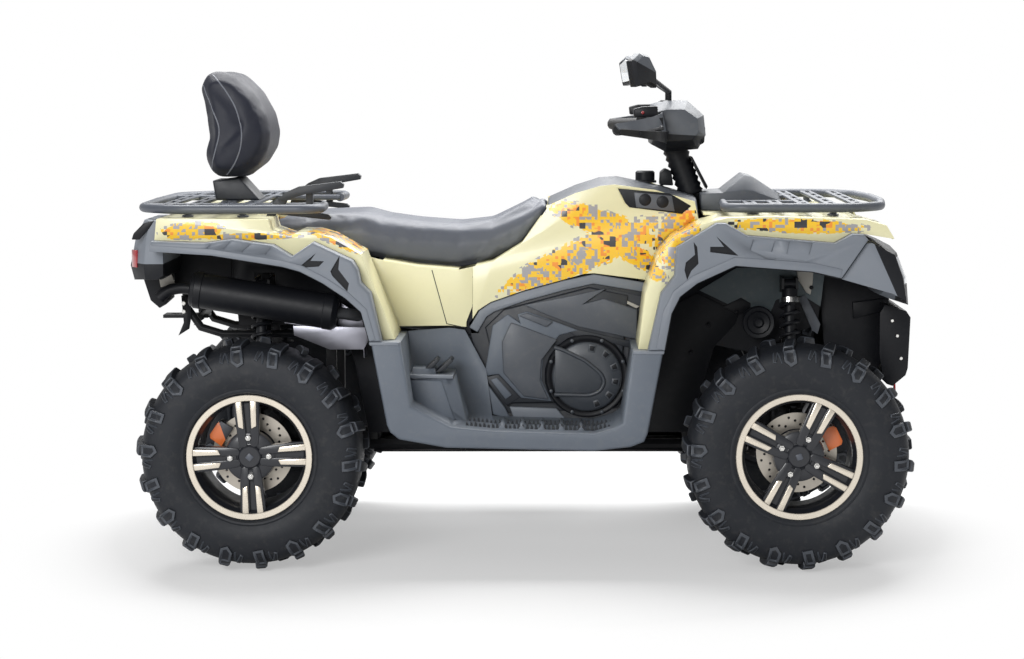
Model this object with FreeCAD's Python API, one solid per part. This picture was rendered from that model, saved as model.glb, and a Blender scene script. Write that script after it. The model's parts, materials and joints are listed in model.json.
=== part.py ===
import FreeCAD
import Part
import math
import os

V = FreeCAD.Vector
os.makedirs("parts", exist_ok=True)

# Driving dimensions in millimetres, X forward, Y to the rider's left, Z up
wheelbase = 1490.0
overall_half_width = 590.0
tyre_radius = 318.0
front_tyre_width = 205.0
rear_tyre_width = 250.0
sidewall = 151.0
lug_depth = 17.0
lug_count = 18
column_lean = 20.0
kingpin_inset = 160.0
hub_radius = 42.0
hub_sides = 24
seat_gap = 0.3
run_gap = 0.6
knuckle_half = 86.0
ball_half = 13.4
steer_arm = 94.0
pin_radius = 6.0
front_rim_turn = -27.0
rear_rim_turn = 3.0
skin_thickness = 5.0

# Places worked out from them
axle_x = wheelbase / 2
axle_z = tyre_radius
bead_radius = tyre_radius - sidewall
kingpin_y = overall_half_width - kingpin_inset
disc_y = -kingpin_y - 52
knuckle_out = -kingpin_y - 16
knuckle_in = -kingpin_y + 12
sectors = 2 * lug_count
rim_face_y = overall_half_width - 16
drive_z = axle_z + 54
front_upright_x = 900.0
column_foot = V(670, 0, 482)
pivot_y = 118.0
pivot_x = 78.0
cage_y = 84.0
upper_pivot_z = axle_z + 128
lower_pivot_z = axle_z - 33
shock_foot_y = 296.0
shock_foot_z = upper_pivot_z + 12
shock_top_z = 760.0
shock_top_y = 236.0
rail_z = 290.0
liner_y = 176.0
nose_floor = 880.0
body_y = 262.0
flare_y = 562.0
fender_y = 520.0
rear_fender_y = 500.0
bar_radius = 11.0
stem_radius = 19.0
grip_radius = 17.0
column_dir = V(-math.sin(math.radians(column_lean)), 0, math.cos(math.radians(column_lean)))


def export(name, shape):
    if not shape.isValid():
        print("not valid:", name)
    shape.exportStep("parts/" + name + ".step")
    print(name, len(shape.Solids), "solids")


def mirrored(shape):
    return shape.mirror(V(0, 0, 0), V(0, 1, 0))


def both(shape):
    return Part.makeCompound([shape, mirrored(shape)])


def fused(shapes):
    return shapes[0].multiFuse(shapes[1:]) if len(shapes) > 1 else shapes[0]


# A wire in the XZ plane at y; a point is (x, z) or (x, z, corner radius)
def outline(points, y):
    count = len(points)
    edges = []
    ends = []
    for i in range(count):
        here = V(points[i][0], y, points[i][1])
        before = V(points[i - 1][0], y, points[i - 1][1])
        after = V(points[(i + 1) % count][0], y, points[(i + 1) % count][1])
        radius = points[i][2] if len(points[i]) > 2 else 0
        if radius == 0:
            ends.append((here, None, here))
            continue
        back = (before - here).normalize()
        ahead = (after - here).normalize()
        half = back.getAngle(ahead) / 2
        reach = radius / math.tan(half)
        middle = (back + ahead).normalize() * (radius / math.sin(half) - radius)
        ends.append((here + back * reach, here + middle, here + ahead * reach))
    for i in range(count):
        first, middle, last = ends[i]
        if middle is not None:
            edges.append(Part.Arc(first, middle, last).toShape())
        start = ends[(i + 1) % count][0]
        if last.distanceToPoint(start) > 0.001:
            edges.append(Part.makeLine(last, start))
    return Part.Wire(edges)


def slab(points, y0, y1):
    return Part.Face(outline(points, y0)).extrude(V(0, y1 - y0, 0))


# The points of a line moved sideways by t, its corners kept sharp
def beside(points, t):
    moved = []
    for i in range(len(points)):
        normals = []
        for a, b in ((i - 1, i), (i, i + 1)):
            if a >= 0 and b < len(points):
                dx = points[b][0] - points[a][0]
                dz = points[b][1] - points[a][1]
                length = math.hypot(dx, dz)
                normals.append((dz / length, -dx / length))
        nx = sum(n[0] for n in normals) / len(normals)
        nz = sum(n[1] for n in normals) / len(normals)
        scale = t / (nx * nx + nz * nz)
        moved.append((points[i][0] + nx * scale, points[i][1] + nz * scale))
    return moved


# A sheet that follows a line in the XZ plane, t thick on its right-hand side
def strip(points, t, y0, y1):
    return slab(list(points) + beside(points, t)[::-1], y0, y1)


def face(points):
    return Part.Face(Part.makePolygon(points + points[:1]))


def quad(a, b, c, d):
    normal = (b - a).cross(c - a).normalize()
    if abs(normal.dot(d - a)) < 0.0005:
        return [face([a, b, c, d])]
    return [face([a, b, c]), face([a, c, d])]


def closed(faces):
    shell = Part.Shell(faces)
    shell.sewShape()
    solid = Part.Solid(shell)
    if solid.Volume < 0:
        solid.reverse()
    return solid


# A solid skinned over flat rings that have the same number of points
def skin(rings):
    faces = [face(rings[0]), face(rings[-1])]
    for one, two in zip(rings, rings[1:]):
        for i in range(len(one)):
            j = (i + 1) % len(one)
            faces.extend(quad(one[i], one[j], two[j], two[i]))
    return closed(faces)


def side_ring(points, y):
    return [V(x, y, z) for x, z in points]


# A bar of flat-sided section along a bent line, mitred at its corners
def bar(points, radius, sides=8):
    ahead = (points[1] - points[0]).normalize()
    across = ahead.cross(V(0, 0, 1))
    if across.Length < 0.1:
        across = V(0, 1, 0)
    across.normalize()
    up = across.cross(ahead)
    ring = []
    turn = 0.5 if sides % 4 == 0 else 0
    for i in range(sides):
        angle = 2 * math.pi * (i + turn) / sides
        ring.append(points[0] + across * (radius * math.cos(angle)) + up * (radius * math.sin(angle)))
    section = Part.makePolygon(ring + ring[:1])
    if len(points) == 2:
        return Part.Face(section).extrude(points[1] - points[0])
    return Part.makePolygon(points).makePipeShell([section], True, False, 1)


def rod(start, end, radius, sides=12):
    return bar([start, end], radius, sides)


# A round pin, bore or stem, used where a joint turns
def cylinder(start, end, radius):
    return Part.makeCylinder(radius, start.distanceToPoint(end), start, end - start)


# Distance from a flat-sided bar's middle to its flats
def flat(radius, sides):
    return radius * math.cos(math.pi / sides)


# The room that a flat-sided rod needs around it, whichever way its flats are turned
def rod_room(start, end, radius, sides=12):
    return rod(start, end, radius / math.cos(math.pi / sides), sides)


def box(x0, x1, y0, y1, z0, z1):
    return Part.makeBox(x1 - x0, y1 - y0, z1 - z0, V(x0, y0, z0))


# A point on a wheel: radius, distance along the axle and angle, for a wheel centre
def on_wheel(centre, radius, y, angle):
    return V(centre.x + radius * math.cos(angle), centre.y + y, centre.z + radius * math.sin(angle))


# A ring with flat sides around an axle, its section given as (radius, y)
def flat_ring(centre, section, count):
    faces = []
    step = 2 * math.pi / count
    for k in range(count):
        for i in range(len(section)):
            j = (i + 1) % len(section)
            faces.extend(quad(on_wheel(centre, section[i][0], section[i][1], k * step),
                              on_wheel(centre, section[j][0], section[j][1], k * step),
                              on_wheel(centre, section[j][0], section[j][1], (k + 1) * step),
                              on_wheel(centre, section[i][0], section[i][1], (k + 1) * step)))
    return closed(faces)


# Tyre: flat-sided carcass with a staggered row of raised lugs on each shoulder
def tyre(centre, width):
    half = width / 2
    bead_y = 0.78 * half
    crown = tyre_radius - lug_depth
    low = [(bead_radius, bead_y), (bead_radius + 55, 0.975 * half), (crown - 34, 0.94 * half)]
    plain = [(crown - 10, 0.80 * half), (crown, 0.45 * half)]
    raised = [(crown - 30, half), (tyre_radius - 12, 0.90 * half), (tyre_radius, 0.56 * half), plain[-1]]
    step = 2 * math.pi / sectors
    faces = []
    for k in range(sectors):
        for side in (1, -1):
            lug = (k % 2 == 0) == (side == 1)
            chain = low + (raised if lug else plain)
            for a, b in zip(chain, chain[1:]):
                faces.extend(quad(on_wheel(centre, a[0], side * a[1], k * step),
                                  on_wheel(centre, b[0], side * b[1], k * step),
                                  on_wheel(centre, b[0], side * b[1], (k + 1) * step),
                                  on_wheel(centre, a[0], side * a[1], (k + 1) * step)))
            wall = [low[-1]] + raised + plain[:1]
            faces.append(face([on_wheel(centre, p[0], side * p[1], k * step) for p in wall]))
        for radius, y in (plain[-1], low[0]):
            faces.extend(quad(on_wheel(centre, radius, y, k * step),
                              on_wheel(centre, radius, -y, k * step),
                              on_wheel(centre, radius, -y, (k + 1) * step),
                              on_wheel(centre, radius, y, (k + 1) * step)))
    return closed(faces)


# Rim: barrel with lips, four pairs of spokes, hub, brake disc and joint cup, for a right-hand wheel
def rim(centre, width, turn):
    bead_y = 0.78 * width / 2
    barrel = bead_radius - seat_gap
    bead = bead_y + seat_gap
    lip = bead + 5 * 0.195 * width / 2 / 55 + seat_gap
    face_y = -rim_face_y - centre.y
    section = [(barrel, -bead), (barrel + 5, -lip), (barrel + 5, face_y), (barrel - 12, face_y),
               (barrel - 12, lip + 6), (barrel + 5, lip + 6), (barrel + 5, lip), (barrel, bead)]
    ring = flat_ring(centre, section, lug_count)
    spoke_y0 = -rim_face_y + 6
    spoke_y1 = -rim_face_y + 30
    spokes = []
    for quarter in range(4):
        for side in (1, -1):
            blade = slab([(20, side * 8), (barrel - 11, side * 11), (barrel - 11, side * 31),
                          (30, side * 25)], spoke_y0, spoke_y1)
            blade.rotate(V(0, 0, 0), V(0, 1, 0), 90 * quarter - turn)
            blade.translate(V(centre.x, 0, centre.z))
            spokes.append(blade)
    hub_face = V(centre.x, spoke_y0 - 2, centre.z)
    hub = rod(hub_face, V(centre.x, knuckle_in + 8, centre.z), hub_radius, hub_sides)
    room = rod(V(centre.x, knuckle_out - 18, centre.z), V(centre.x, knuckle_in + 9, centre.z),
               hub_radius - 8, 6)
    bore = cylinder(hub_face, hub_face + V(0, 8, 0), pin_radius)
    disc = flat_ring(V(centre.x, disc_y, centre.z), [(38, 0), (110, 0), (110, 4), (38, 4)], 16)
    return fused([ring, hub, disc] + spokes).cut(room).cut(bore)


# Upright that carries a wheel, with its ball-joint bosses and axle bore
def upright(x, arm):
    head = axle_z + knuckle_half
    foot = axle_z - knuckle_half
    plate = slab([(x - 16, foot), (x + 16, foot), (x + 34, axle_z - 50), (x + 62, axle_z),
                  (x + 34, axle_z + 50), (x + 16, head), (x - 16, head), (x - 58, axle_z + 34),
                  (x - 58, axle_z - 34)], knuckle_out, knuckle_in)
    pieces = [plate]
    pieces += [box(x - 16, x + 16, knuckle_out, knuckle_in + 4, z, z + 12) for z in (head - 12, foot)]
    if arm:
        tip = x - steer_arm - 13
        top = axle_z + 35 - run_gap
        lever = slab([(tip, axle_z + 20), (x - 40, axle_z + 10), (x - 40, top), (tip, top)],
                     knuckle_out + 4, knuckle_in)
        pieces.append(lever)
    hub_room = rod_room(V(x, knuckle_out - 14, axle_z), V(x, knuckle_in + 18, axle_z),
                        hub_radius + run_gap / 2, hub_sides)
    kingpin = cylinder(V(x, -kingpin_y, head - 10), V(x, -kingpin_y, head), pin_radius)
    return fused(pieces).cut(hub_room).cut(kingpin)


# Caliper that straddles the brake disc at an angle above the axle
def caliper(x, angle):
    y0 = disc_y - 24
    y1 = disc_y + 35
    block = slab([(82, -30), (120, -28), (126, -20), (126, 20), (120, 28), (82, 30)], y0, y1)
    slot = box(70, 116, disc_y - 7, disc_y + 11, -40, 40)
    ear = box(48, 92, disc_y + 12, knuckle_out - seat_gap, -16, 16)
    piece = block.cut(slot).fuse(ear)
    piece.rotate(V(0, 0, 0), V(0, 1, 0), -angle)
    piece.translate(V(x, 0, axle_z))
    return piece


# Two-legged wishbone from its ball joint to its pivot barrels, with a shock mount where asked
def wishbone(x, z_out, z_in, mount_y=0):
    ball = V(x, -kingpin_y, z_out)
    legs = [rod(ball - V(0, 0, ball_half), ball + V(0, 0, ball_half), 17, 6)]
    for side in (1, -1):
        near = V(x + side * (pivot_x - 18), -pivot_y, z_in)
        far = V(x + side * (pivot_x + 18), -pivot_y, z_in)
        legs.append(rod(V(x + side * 12, -kingpin_y + 14, z_out), (near + far) / 2, 14, 4))
        legs.append(rod(near, far, 18, 4))
    if mount_y:
        share = (mount_y - pivot_y) / (kingpin_y - pivot_y)
        z = z_in + (z_out - z_in) * share
        legs.append(rod(V(x - 46, -mount_y, z), V(x + 46, -mount_y, z), 12, 4))
        for side in (-1, 1):
            ear_x = x + side * 20
            legs.append(box(ear_x - 3.5, ear_x + 3.5, -mount_y - 12, -mount_y + 12, z, z + 42))
    return fused(legs)


def wishbones(x):
    ball_offset = knuckle_half + run_gap + ball_half
    upper = wishbone(x, axle_z + ball_offset, upper_pivot_z, shock_foot_y)
    lower = wishbone(x, axle_z - ball_offset, lower_pivot_z)
    return [upper, lower]


# Coil-over shock absorber: body, spring as stacked rings, eyes at both ends
def shock(top, foot):
    along = (foot - top).normalize()
    length = top.distanceToPoint(foot)
    parts = [rod(top + along * 10, foot - along * 10, 15, 6)]
    coils = 4
    pitch = (length - 110) / coils
    for i in range(coils):
        start = top + along * (46 + pitch * i)
        parts.append(rod(start, start + along * (0.5 * pitch), 30, 6))
    for eye in (top, foot):
        parts.append(rod(eye - V(16, 0, 0), eye + V(16, 0, 0), 16, 6))
    return fused(parts)


# Half shaft that slopes down to the wheel, with its boots and the knob of its outer joint
def half_shaft(x):
    inner = V(x, -60, drive_z)
    outer = V(x, -kingpin_y, axle_z)
    along = (outer - inner).normalize()
    shaft = rod(inner, outer, 12, 6)
    knob = rod(outer - along * 10, outer + along * 10, 22, 6)
    inner_boot = rod(inner + along * 26, inner + along * 80, 32, 8)
    outer_boot = rod(inner + along * 270, inner + along * 312, 26, 8)
    return fused([shaft, knob, inner_boot, outer_boot])


def axle_drive(x):
    housing = rod(V(x, -cage_y + seat_gap, drive_z), V(x, cage_y - seat_gap, drive_z), 70)
    nose = rod(V(x, 0, drive_z - 6), V(x - math.copysign(140, x), 0, drive_z - 6), 38, 8)
    right = half_shaft(x)
    return fused([housing, nose, right, mirrored(right)])


# Steering
def column_point(z):
    return column_foot + column_dir * ((z - column_foot.z) / column_dir.z)


column_room = rod_room(column_point(400), column_point(1240), 40)
bar_centre = column_point(1196)
column_back = V(-column_dir.z, 0, column_dir.x)
pitman_length = 80.0
tie_rod_drop = 15.0
grip_end = V(255, -400, 1198)
grip_start = V(345, -262, 1203)


def handlebar_core(extra):
    mid = V(bar_centre.x, 0, bar_centre.z)
    bend = V(mid.x - 6, -110, mid.z + 2)
    ahead = (grip_end - grip_start).normalize()
    half = bar([mid, bend, grip_start - ahead * 48, grip_end], bar_radius + extra)
    stem = rod(column_foot + column_dir * 10, mid, stem_radius + extra)
    clamp = box(mid.x - 26 - extra, mid.x + 26 + extra, -62 - extra, 62 + extra, mid.z - 24 - extra,
                mid.z + 18 + extra)
    return [half, mirrored(half), stem, clamp]


# Pitman arm: a flat lever behind the column that carries both tie rods' studs
def handlebar():
    end = column_foot + column_back * pitman_length
    plan = [(24, -20), (24, 20), (0, 24), (-pitman_length - 12, 36), (-pitman_length - 12, -36), (0, -24)]
    rings = []
    for rise in (8, 18):
        rings.append([column_foot + column_dir * rise - column_back * u + V(0, v, 0) for u, v in plan])
    studs = [rod(V(end.x, y, end.z - 3), V(end.x, y, end.z + 14), 8, 6) for y in (-24, 24)]
    foot = cylinder(column_foot + column_dir * 6, column_foot + column_dir * 12, 2 * pin_radius)
    return fused(handlebar_core(0) + [skin(rings), foot] + studs)


def grips():
    ahead = (grip_end - grip_start).normalize()
    room = rod_room(grip_start - ahead * 20, grip_end + ahead * 20, bar_radius + seat_gap)
    grip = rod(grip_start, grip_end - ahead * 2, grip_radius).cut(room)
    return both(grip)


def levers():
    perch = box(-24, 24, -18, 20, -24, 24).cut(rod_room(V(0, -40, 0), V(0, 40, 0), bar_radius + seat_gap))
    blade = bar([V(17, 4, 0), V(44, -20, -4), V(48, -150, -12)], 6, 6)
    lever = perch.fuse(blade)
    ahead = (grip_end - grip_start).normalize()
    turn = FreeCAD.Rotation(V(0, -1, 0), ahead)
    lever.Placement = FreeCAD.Placement(grip_start - ahead * 22, turn)
    return both(lever)


def mirrors():
    stalk = bar([V(412, -100, 1273 + seat_gap), V(412, -100, 1298), V(360, -250, 1335),
                 V(324, -412, 1352)], 6, 6)
    outline_points = [(276, 1384), (306, 1405), (335, 1400), (366, 1356), (369, 1311), (341, 1323),
                      (292, 1314)]
    wide = [(320 + (x - 320) * 1.15, z) for x, z in outline_points]
    small = [(320 + (x - 320) * 0.95, 1358 + (z - 1358) * 0.85) for x, z in outline_points]
    head = skin([side_ring(small, -412), side_ring(wide, -420), side_ring(wide, -438),
                 side_ring(small, -448)])
    head.rotate(V(320, -430, 1360), V(0, 0, 1), 50)
    return head, stalk


def handlebar_pod():
    ring = [(358, 1150), (350, 1236), (366, 1262), (400, 1273), (462, 1273), (508, 1232), (514, 1176),
            (492, 1136), (400, 1128)]
    small = [(x * 0.8 + 80, z * 0.62 + 460) for x, z in ring]
    pod = skin([side_ring(small, -190), side_ring(ring, -118), side_ring(ring, 118),
                side_ring(small, 190)])
    return pod.cut(fused(handlebar_core(seat_gap)))


def tie_rod():
    outer = V(axle_x - steer_arm, -kingpin_y, axle_z + 44)
    inner = column_foot + column_back * pitman_length + V(0, -24, -tie_rod_drop)
    ahead = (outer - inner).normalize()
    shaft = rod(inner + ahead * 8, outer - ahead * 8, 8, 6)
    eye_in = rod(inner - V(0, 0, 9), inner + V(0, 0, 9), 13, 6)
    eye_out = cylinder(outer - V(0, 0, 9), outer + V(0, 0, 9), 13)
    return fused([shaft, eye_in, eye_out])


# Height of a line at x
def height_on(line, x):
    for a, b in zip(line, line[1:]):
        if a[0] <= x <= b[0]:
            return a[1] + (b[1] - a[1]) * (x - a[0]) / (b[0] - a[0])


# Frame, in tubes that are seated against each other
rail_y = 130.0
rail_radius = 16.0
rail_flat = flat(rail_radius, 6)
post_half = 14.0
cage_half = 108.0
tray_top = 396.0
posts = [(-900, 951), (-680, 887.9), (-307, 809), (220, 980), (640, 953.2)]
stays = (600, -640)
outriggers = (-180, 180)
footwell_line = [(-332, 631), (-306, 456), (-196, 400), (-80, 389), (191, 381), (246, 397), (268, 411),
                 (295, 606)]
upper_line = [(-1000, 856), (-420, 740), (-60, 740), (420, 850),
              (front_upright_x - post_half - seat_gap, 850)]
upper_under = beside(upper_line, rail_flat + seat_gap)
upper_over = beside(upper_line, -rail_flat - seat_gap)


def level(z):
    return [(-1200, z), (1200, z)]


lower_over = level(rail_z + rail_flat + seat_gap)


def outrigger_z(x):
    lowest = min(height_on(footwell_line, x - 6), height_on(footwell_line, x + 6))
    return lowest - 6.1 - seat_gap - flat(12, 6)


def rails():
    end = axle_x - cage_half - seat_gap
    far = end + 5
    lower = bar([V(-far, -98, rail_z), V(-470, -rail_y, rail_z), V(480, -rail_y, rail_z),
                 V(far, -98, rail_z)], rail_radius, 6).common(box(-end, end, -200, 0, 200, 400))
    upper = bar([V(x, -rail_y, z) for x, z in upper_line], rail_radius, 6)
    return Part.makeCompound([both(lower), both(upper)])


# A square post whose ends follow the lines below and above it
def post(x0, x1, low, high, half, y0, y1):
    ends = ((x0 - half, low), (x0 + half, low), (x1 + half, high), (x1 - half, high))
    return slab([(x, height_on(line, x)) for x, line in ends], y0, y1)


def frame_posts():
    y0 = -rail_y - post_half
    y1 = -rail_y + post_half
    pieces = [post(-442, -442, lower_over, upper_under, post_half, y0, y1),
              post(462, 440, lower_over, upper_under, post_half, y0, y1),
              post(-560, -560, lower_over, upper_under, post_half, y0, y1),
              post(front_upright_x, front_upright_x, level(380), level(nose_floor - seat_gap), post_half,
                   y0, y1)]
    for x, top in posts:
        pieces.append(post(x, x, upper_over, level(top), 7, -rail_y - 7, -rail_y + 7))
    for x in stays:
        low = level(height_on(upper_under, x) - 56)
        pieces.append(post(x, x, low, upper_under, 9, -liner_y + seat_gap, -rail_y + 9))
    link_end = front_upright_x - post_half - seat_gap
    pieces.append(box(axle_x + cage_half + seat_gap, link_end, -136, -cage_y, 430, 450))
    return [both(piece) for piece in pieces]


def cross_members():
    reach = rail_y - rail_radius - seat_gap
    pieces = []
    for x, z in ((-442, rail_z), (462, rail_z), (-970, 850), (-560, 768), (-60, 740), (-axle_x, 805),
                 (440, 850)):
        pieces.append(rod(V(x, -reach, z), V(x, reach, z), 13, 4))
    wide = rail_y - post_half - seat_gap
    for z in (440, 850):
        pieces.append(rod(V(front_upright_x, -wide, z), V(front_upright_x, wide, z), 13, 4))
    collar_x = column_point(850).x
    collar = box(collar_x - 32, collar_x + 32, -34, 34, 836, 864)
    carrier = rod(V(collar_x, -reach, 850), V(collar_x, reach, 850), 13, 4)
    column = rod_room(column_point(700), column_point(1000), stem_radius + run_gap)
    pieces.append(collar.fuse(carrier).cut(column))
    bearing = rod(column_foot - column_dir * 16, column_foot + column_dir * (6 - run_gap), 24, 8)
    shelf = box(646, 712, -cage_y + seat_gap, cage_y - seat_gap, 452, 466)
    pieces.append(shelf.fuse(bearing))
    pieces.append(box(front_upright_x - post_half, 1000, -wide, wide, tray_top - 8, tray_top))
    skid_top = rail_z - rail_flat - seat_gap
    pieces.append(box(-440, 470, -140, 140, skid_top - 8, skid_top))
    return pieces


# Side plate with the wishbones' ears, and the tower above it that holds the shock absorber
def axle_cage(x):
    half = [(cage_half, 262), (cage_half, 316), (78, 345), (78, 414), (cage_half, 424), (cage_half, 470)]
    plan = [(x + dx, z) for dx, z in half] + [(x - dx, z) for dx, z in half[::-1]]
    room = rod(V(x, -cage_y - 9, drive_z), V(x, -cage_y + 1, drive_z), 44, 8)
    pieces = [slab(plan, -cage_y - 8, -cage_y).cut(room)]
    for z in (upper_pivot_z, lower_pivot_z):
        for dx in (-pivot_x - 23.3, -pivot_x + 23.3, pivot_x - 23.3, pivot_x + 23.3):
            pieces.append(box(x + dx - 5, x + dx + 5, -pivot_y - 16, -cage_y - 7, z - 16, z + 16))
    top = min(height_on(upper_under, x - 10), height_on(upper_under, x + 10))
    leg = face([V(x - 10, -100, 470 + seat_gap), V(x - 10, -80, 470 + seat_gap), V(x - 10, -120, top),
                V(x - 10, -140, top)])
    tower = [leg.extrude(V(20, 0, 0))]
    for dx in (-20, 20):
        ear = [(-pivot_y - 4, shock_top_z - 40), (-shock_top_y - 16, shock_top_z - 14),
               (-shock_top_y - 16, shock_top_z + 16), (-pivot_y - 4, shock_top_z + 20)]
        tower.append(face([V(x + dx - 3.5, y, z) for y, z in ear]).extrude(V(7, 0, 0)))
    tower.append(rod(V(x - 23, -136, shock_top_z - 8), V(x + 23, -136, shock_top_z - 8), 13, 4))
    return [both(fused(pieces)), both(fused(tower))]


def towing_frame():
    back = -978
    loop = bar([V(-560 - post_half - seat_gap, -rail_y, 610), V(-874, -rail_y, 610), V(-936, -rail_y, 629),
                V(back, -rail_y, 690), V(back, -rail_y, height_on(upper_under, back + 12))], 12, 6)
    reach = rail_y - 12 - seat_gap
    crossbar = rod(V(-952, -reach, 652), V(-952, reach, 652), 12, 6)
    hitch_hole = cylinder(V(-1030, 0, 640), V(-1030, 0, 660), 10)
    tongue = box(-1062, -930, -34, 34, 646, 656).fuse(crossbar).cut(hitch_hole)
    return Part.makeCompound([loop, mirrored(loop), tongue])


def footwell_brackets():
    root = -rail_y - rail_radius - seat_gap
    pieces = [bar([V(x, root, rail_z), V(x, -180, rail_z), V(x, -215, outrigger_z(x)),
                   V(x, -530, outrigger_z(x))], 12, 6) for x in outriggers]
    return [both(piece) for piece in pieces]


# Engine: plain block with its head, and the two round side covers
def engine_block():
    sump = rail_z + rail_flat + seat_gap
    case = box(-60, 330, -150, 150, sump, 600)
    head = slab([(60, 590), (210, 590), (254, 690), (240, 702), (116, 715), (106, 708)], -90, 90)
    return case.fuse(head)


cover_x, cover_z = 174.0, 502.0
cover_sides = 20


def engine_covers():
    centre = V(cover_x, 0, cover_z)
    ring = rod(V(cover_x, -150.3, cover_z), V(cover_x, -270, cover_z), 118, cover_sides)
    disc = rod(V(cover_x, -269, cover_z), V(cover_x, -284, cover_z), 99, cover_sides)
    right = ring.fuse(disc)
    left = rod(V(cover_x, 150.3, cover_z), V(cover_x, 276, cover_z), 118, cover_sides)
    rear = rod(V(-70, 160, 430), V(-70, 236, 430), 96, 16)
    web = slab([(-70, 334), (cover_x, cover_z - 110), (cover_x, cover_z + 110), (-70, 526)], 160, 236)
    clutch = rod(V(-70, 150, 430), V(-70, 161, 430), 40, 8)
    left = fused([left, rear, web, clutch.cut(box(-200, -60, 100, 200, 0, 900))])
    return Part.makeCompound([right, left])


def engine_side_panels():
    rim_line = [(-162, 652), (-133, 687), (-98, 710), (-6, 742), (108, 773), (194, 791), (340, 767),
                (318, 640), (300, 470), (262, 408), (-92, 392), (-132, 520)]
    panel = slab(rim_line, -252, -238)
    inner = [(-112, 640), (-60, 690), (180, 752), (290, 730), (270, 520), (240, 430), (-60, 425)]
    panel = panel.fuse(slab(inner, -body_y, -238))
    hole = rod(V(cover_x, -300, cover_z), V(cover_x, -200, cover_z), 118 + seat_gap, cover_sides)
    return both(panel.cut(hole))


# Footwells: a trough between the legs and a deep outer rim
def footrests():
    trough = strip(footwell_line, 6, -556, -body_y - seat_gap)
    edge = [(-413, 631), (-371, 404), (-362, 384), (-338, 365), (-210, 342), (191, 333), (290, 344),
            (326, 358), (336, 380), (378, 606)] + footwell_line[::-1]
    rim_plate = slab(edge, -flare_y, -flare_y + 22)
    inner_wall = slab([(-330, 631), (-214, 640), (-170, 634), (-110, 520), (-94, 387), (-200, 396),
                       (-309, 452)], -268, -body_y - seat_gap)
    heel = slab([(-326, 511), (-195, 514), (-160, 392), (-303, 440)], -420, -264)
    step = slab([(-310, 540), (-250, 540), (-240, 500), (-312, 500)], -400, -300)
    front_flange = box(294, 320, -540.3, -264, 600, 606)
    rear_flange = box(-362, -334, -540.3, -264, 625, 631)
    pieces = [trough, rim_plate, inner_wall, heel, step, front_flange, rear_flange]
    for i in range(5):
        x = -72 + i * 54
        floor = height_on(footwell_line, x) - 3
        pieces.append(slab([(x, floor), (x + 12, floor + 14), (x + 24, floor)], -520, -340))
    room = rod(V(cover_x, -300, cover_z), V(cover_x, -200, cover_z), 121, cover_sides)
    return both(fused(pieces).cut(room))


# Body sides between the seat and the engine panels, with the ledges that carry the seat
seat_line = [(-751, 916), (-680, 896), (-594, 872), (-461, 846), (-400, 832), (-307, 815), (-187, 804),
             (-92, 825), (-9, 876), (44, 950)]


def seat_ledge(first, last, y0, y1):
    return strip(beside(seat_line[first:last], seat_gap), skin_thickness, y0, y1)


def body_sides():
    panel = slab([(-450, 843), (-400, 831), (-307, 814), (-187, 803), (-147, 812), (-149, 700),
                  (-166, 656), (-166, 642), (-214, 646), (-364, 644)], -body_y, -body_y + 6)
    tab = slab([(-190, 780), (-125, 780), (-130, 705), (-190, 705)], -256 + seat_gap, -251)
    root = slab([(-190, 780), (-160, 780), (-160, 705), (-190, 705)], -257, -251)
    rear_panel = fused([panel, tab, root, seat_ledge(4, 7, -256.5, -112)])
    front = slab([(-146.4, 812), (-92, 825), (-9, 877), (45, 951), (69, 985), (143, 1018), (212, 1038),
                  (252, 1042), (367, 1026), (476, 994), (487, 944), (420, 887), (381, 848), (341, 774),
                  (194, 793), (166, 791), (108, 775), (-6, 744), (-98, 712), (-133, 689), (-148.4, 665)],
                 -body_y, -body_y + 6)
    pocket = slab([(258, 1034), (406, 1020), (470, 980), (441, 956), (292, 976), (278, 990)], -body_y,
                  -body_y + 3)
    front = front.cut(pocket).fuse(seat_ledge(6, 10, -256.5, -112).cut(box(-200, -140, -300, 0, 700, 900)))
    flange = slab([(60, 985), (69, 985), (143, 1018), (212, 1036), (252, 1040), (367, 1024), (476, 992),
                   (474, 980), (367, 1010), (240, 1026), (140, 1004), (62, 968)], -256.1, -250)
    return both(rear_panel), both(front.fuse(flange))


def tank_cover():
    stations = [(64.3, 995, 960), (144, 1030, 992), (214, 1052, 1012), (263, 1055, 1014),
                (374, 1032, 990), (487, 1002, 960)]
    rings = []
    side = 250 - seat_gap
    for x, top, low in stations:
        rings.append([V(x, -side, low - 30), V(x, -side, low), V(x, -150, top - 6), V(x, 0, top),
                      V(x, 150, top - 6), V(x, side, low), V(x, side, low - 30)])
    return skin(rings).cut(column_room)


# Fenders, flares and liners
front_top = [(311, 607), (330, 756), (352, 817), (371, 867), (406, 906), (485, 946), (547, 962),
             (675, 966), (922, 957), (979, 941), (1000, 906)]
front_join = [(926, 905), (914, 919), (884, 921), (837, 896), (601, 917), (545, 950), (520, 950),
              (412, 886), (407, 809), (371, 762), (336, 606.3)]
front_arch = [(381, 606.3), (399, 707), (422, 753), (468, 789), (571, 836), (775, 820), (855, 801)]
rear_top = [(-998, 962), (-695, 959), (-686, 930), (-639, 914), (-613, 925), (-571, 925),
            (-524, 911), (-442, 864), (-350, 633.5)]
rear_join = [(-1004, 905), (-862, 900), (-784, 910), (-675, 894), (-624, 863), (-567, 902), (-461, 852),
             (-446, 826), (-439, 791), (-413, 764), (-383, 631.3)]
rear_arch = [(-1010, 878), (-839, 867), (-649, 836), (-602, 823), (-540, 791), (-479, 750), (-438, 713),
             (-416, 631.3)]


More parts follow.
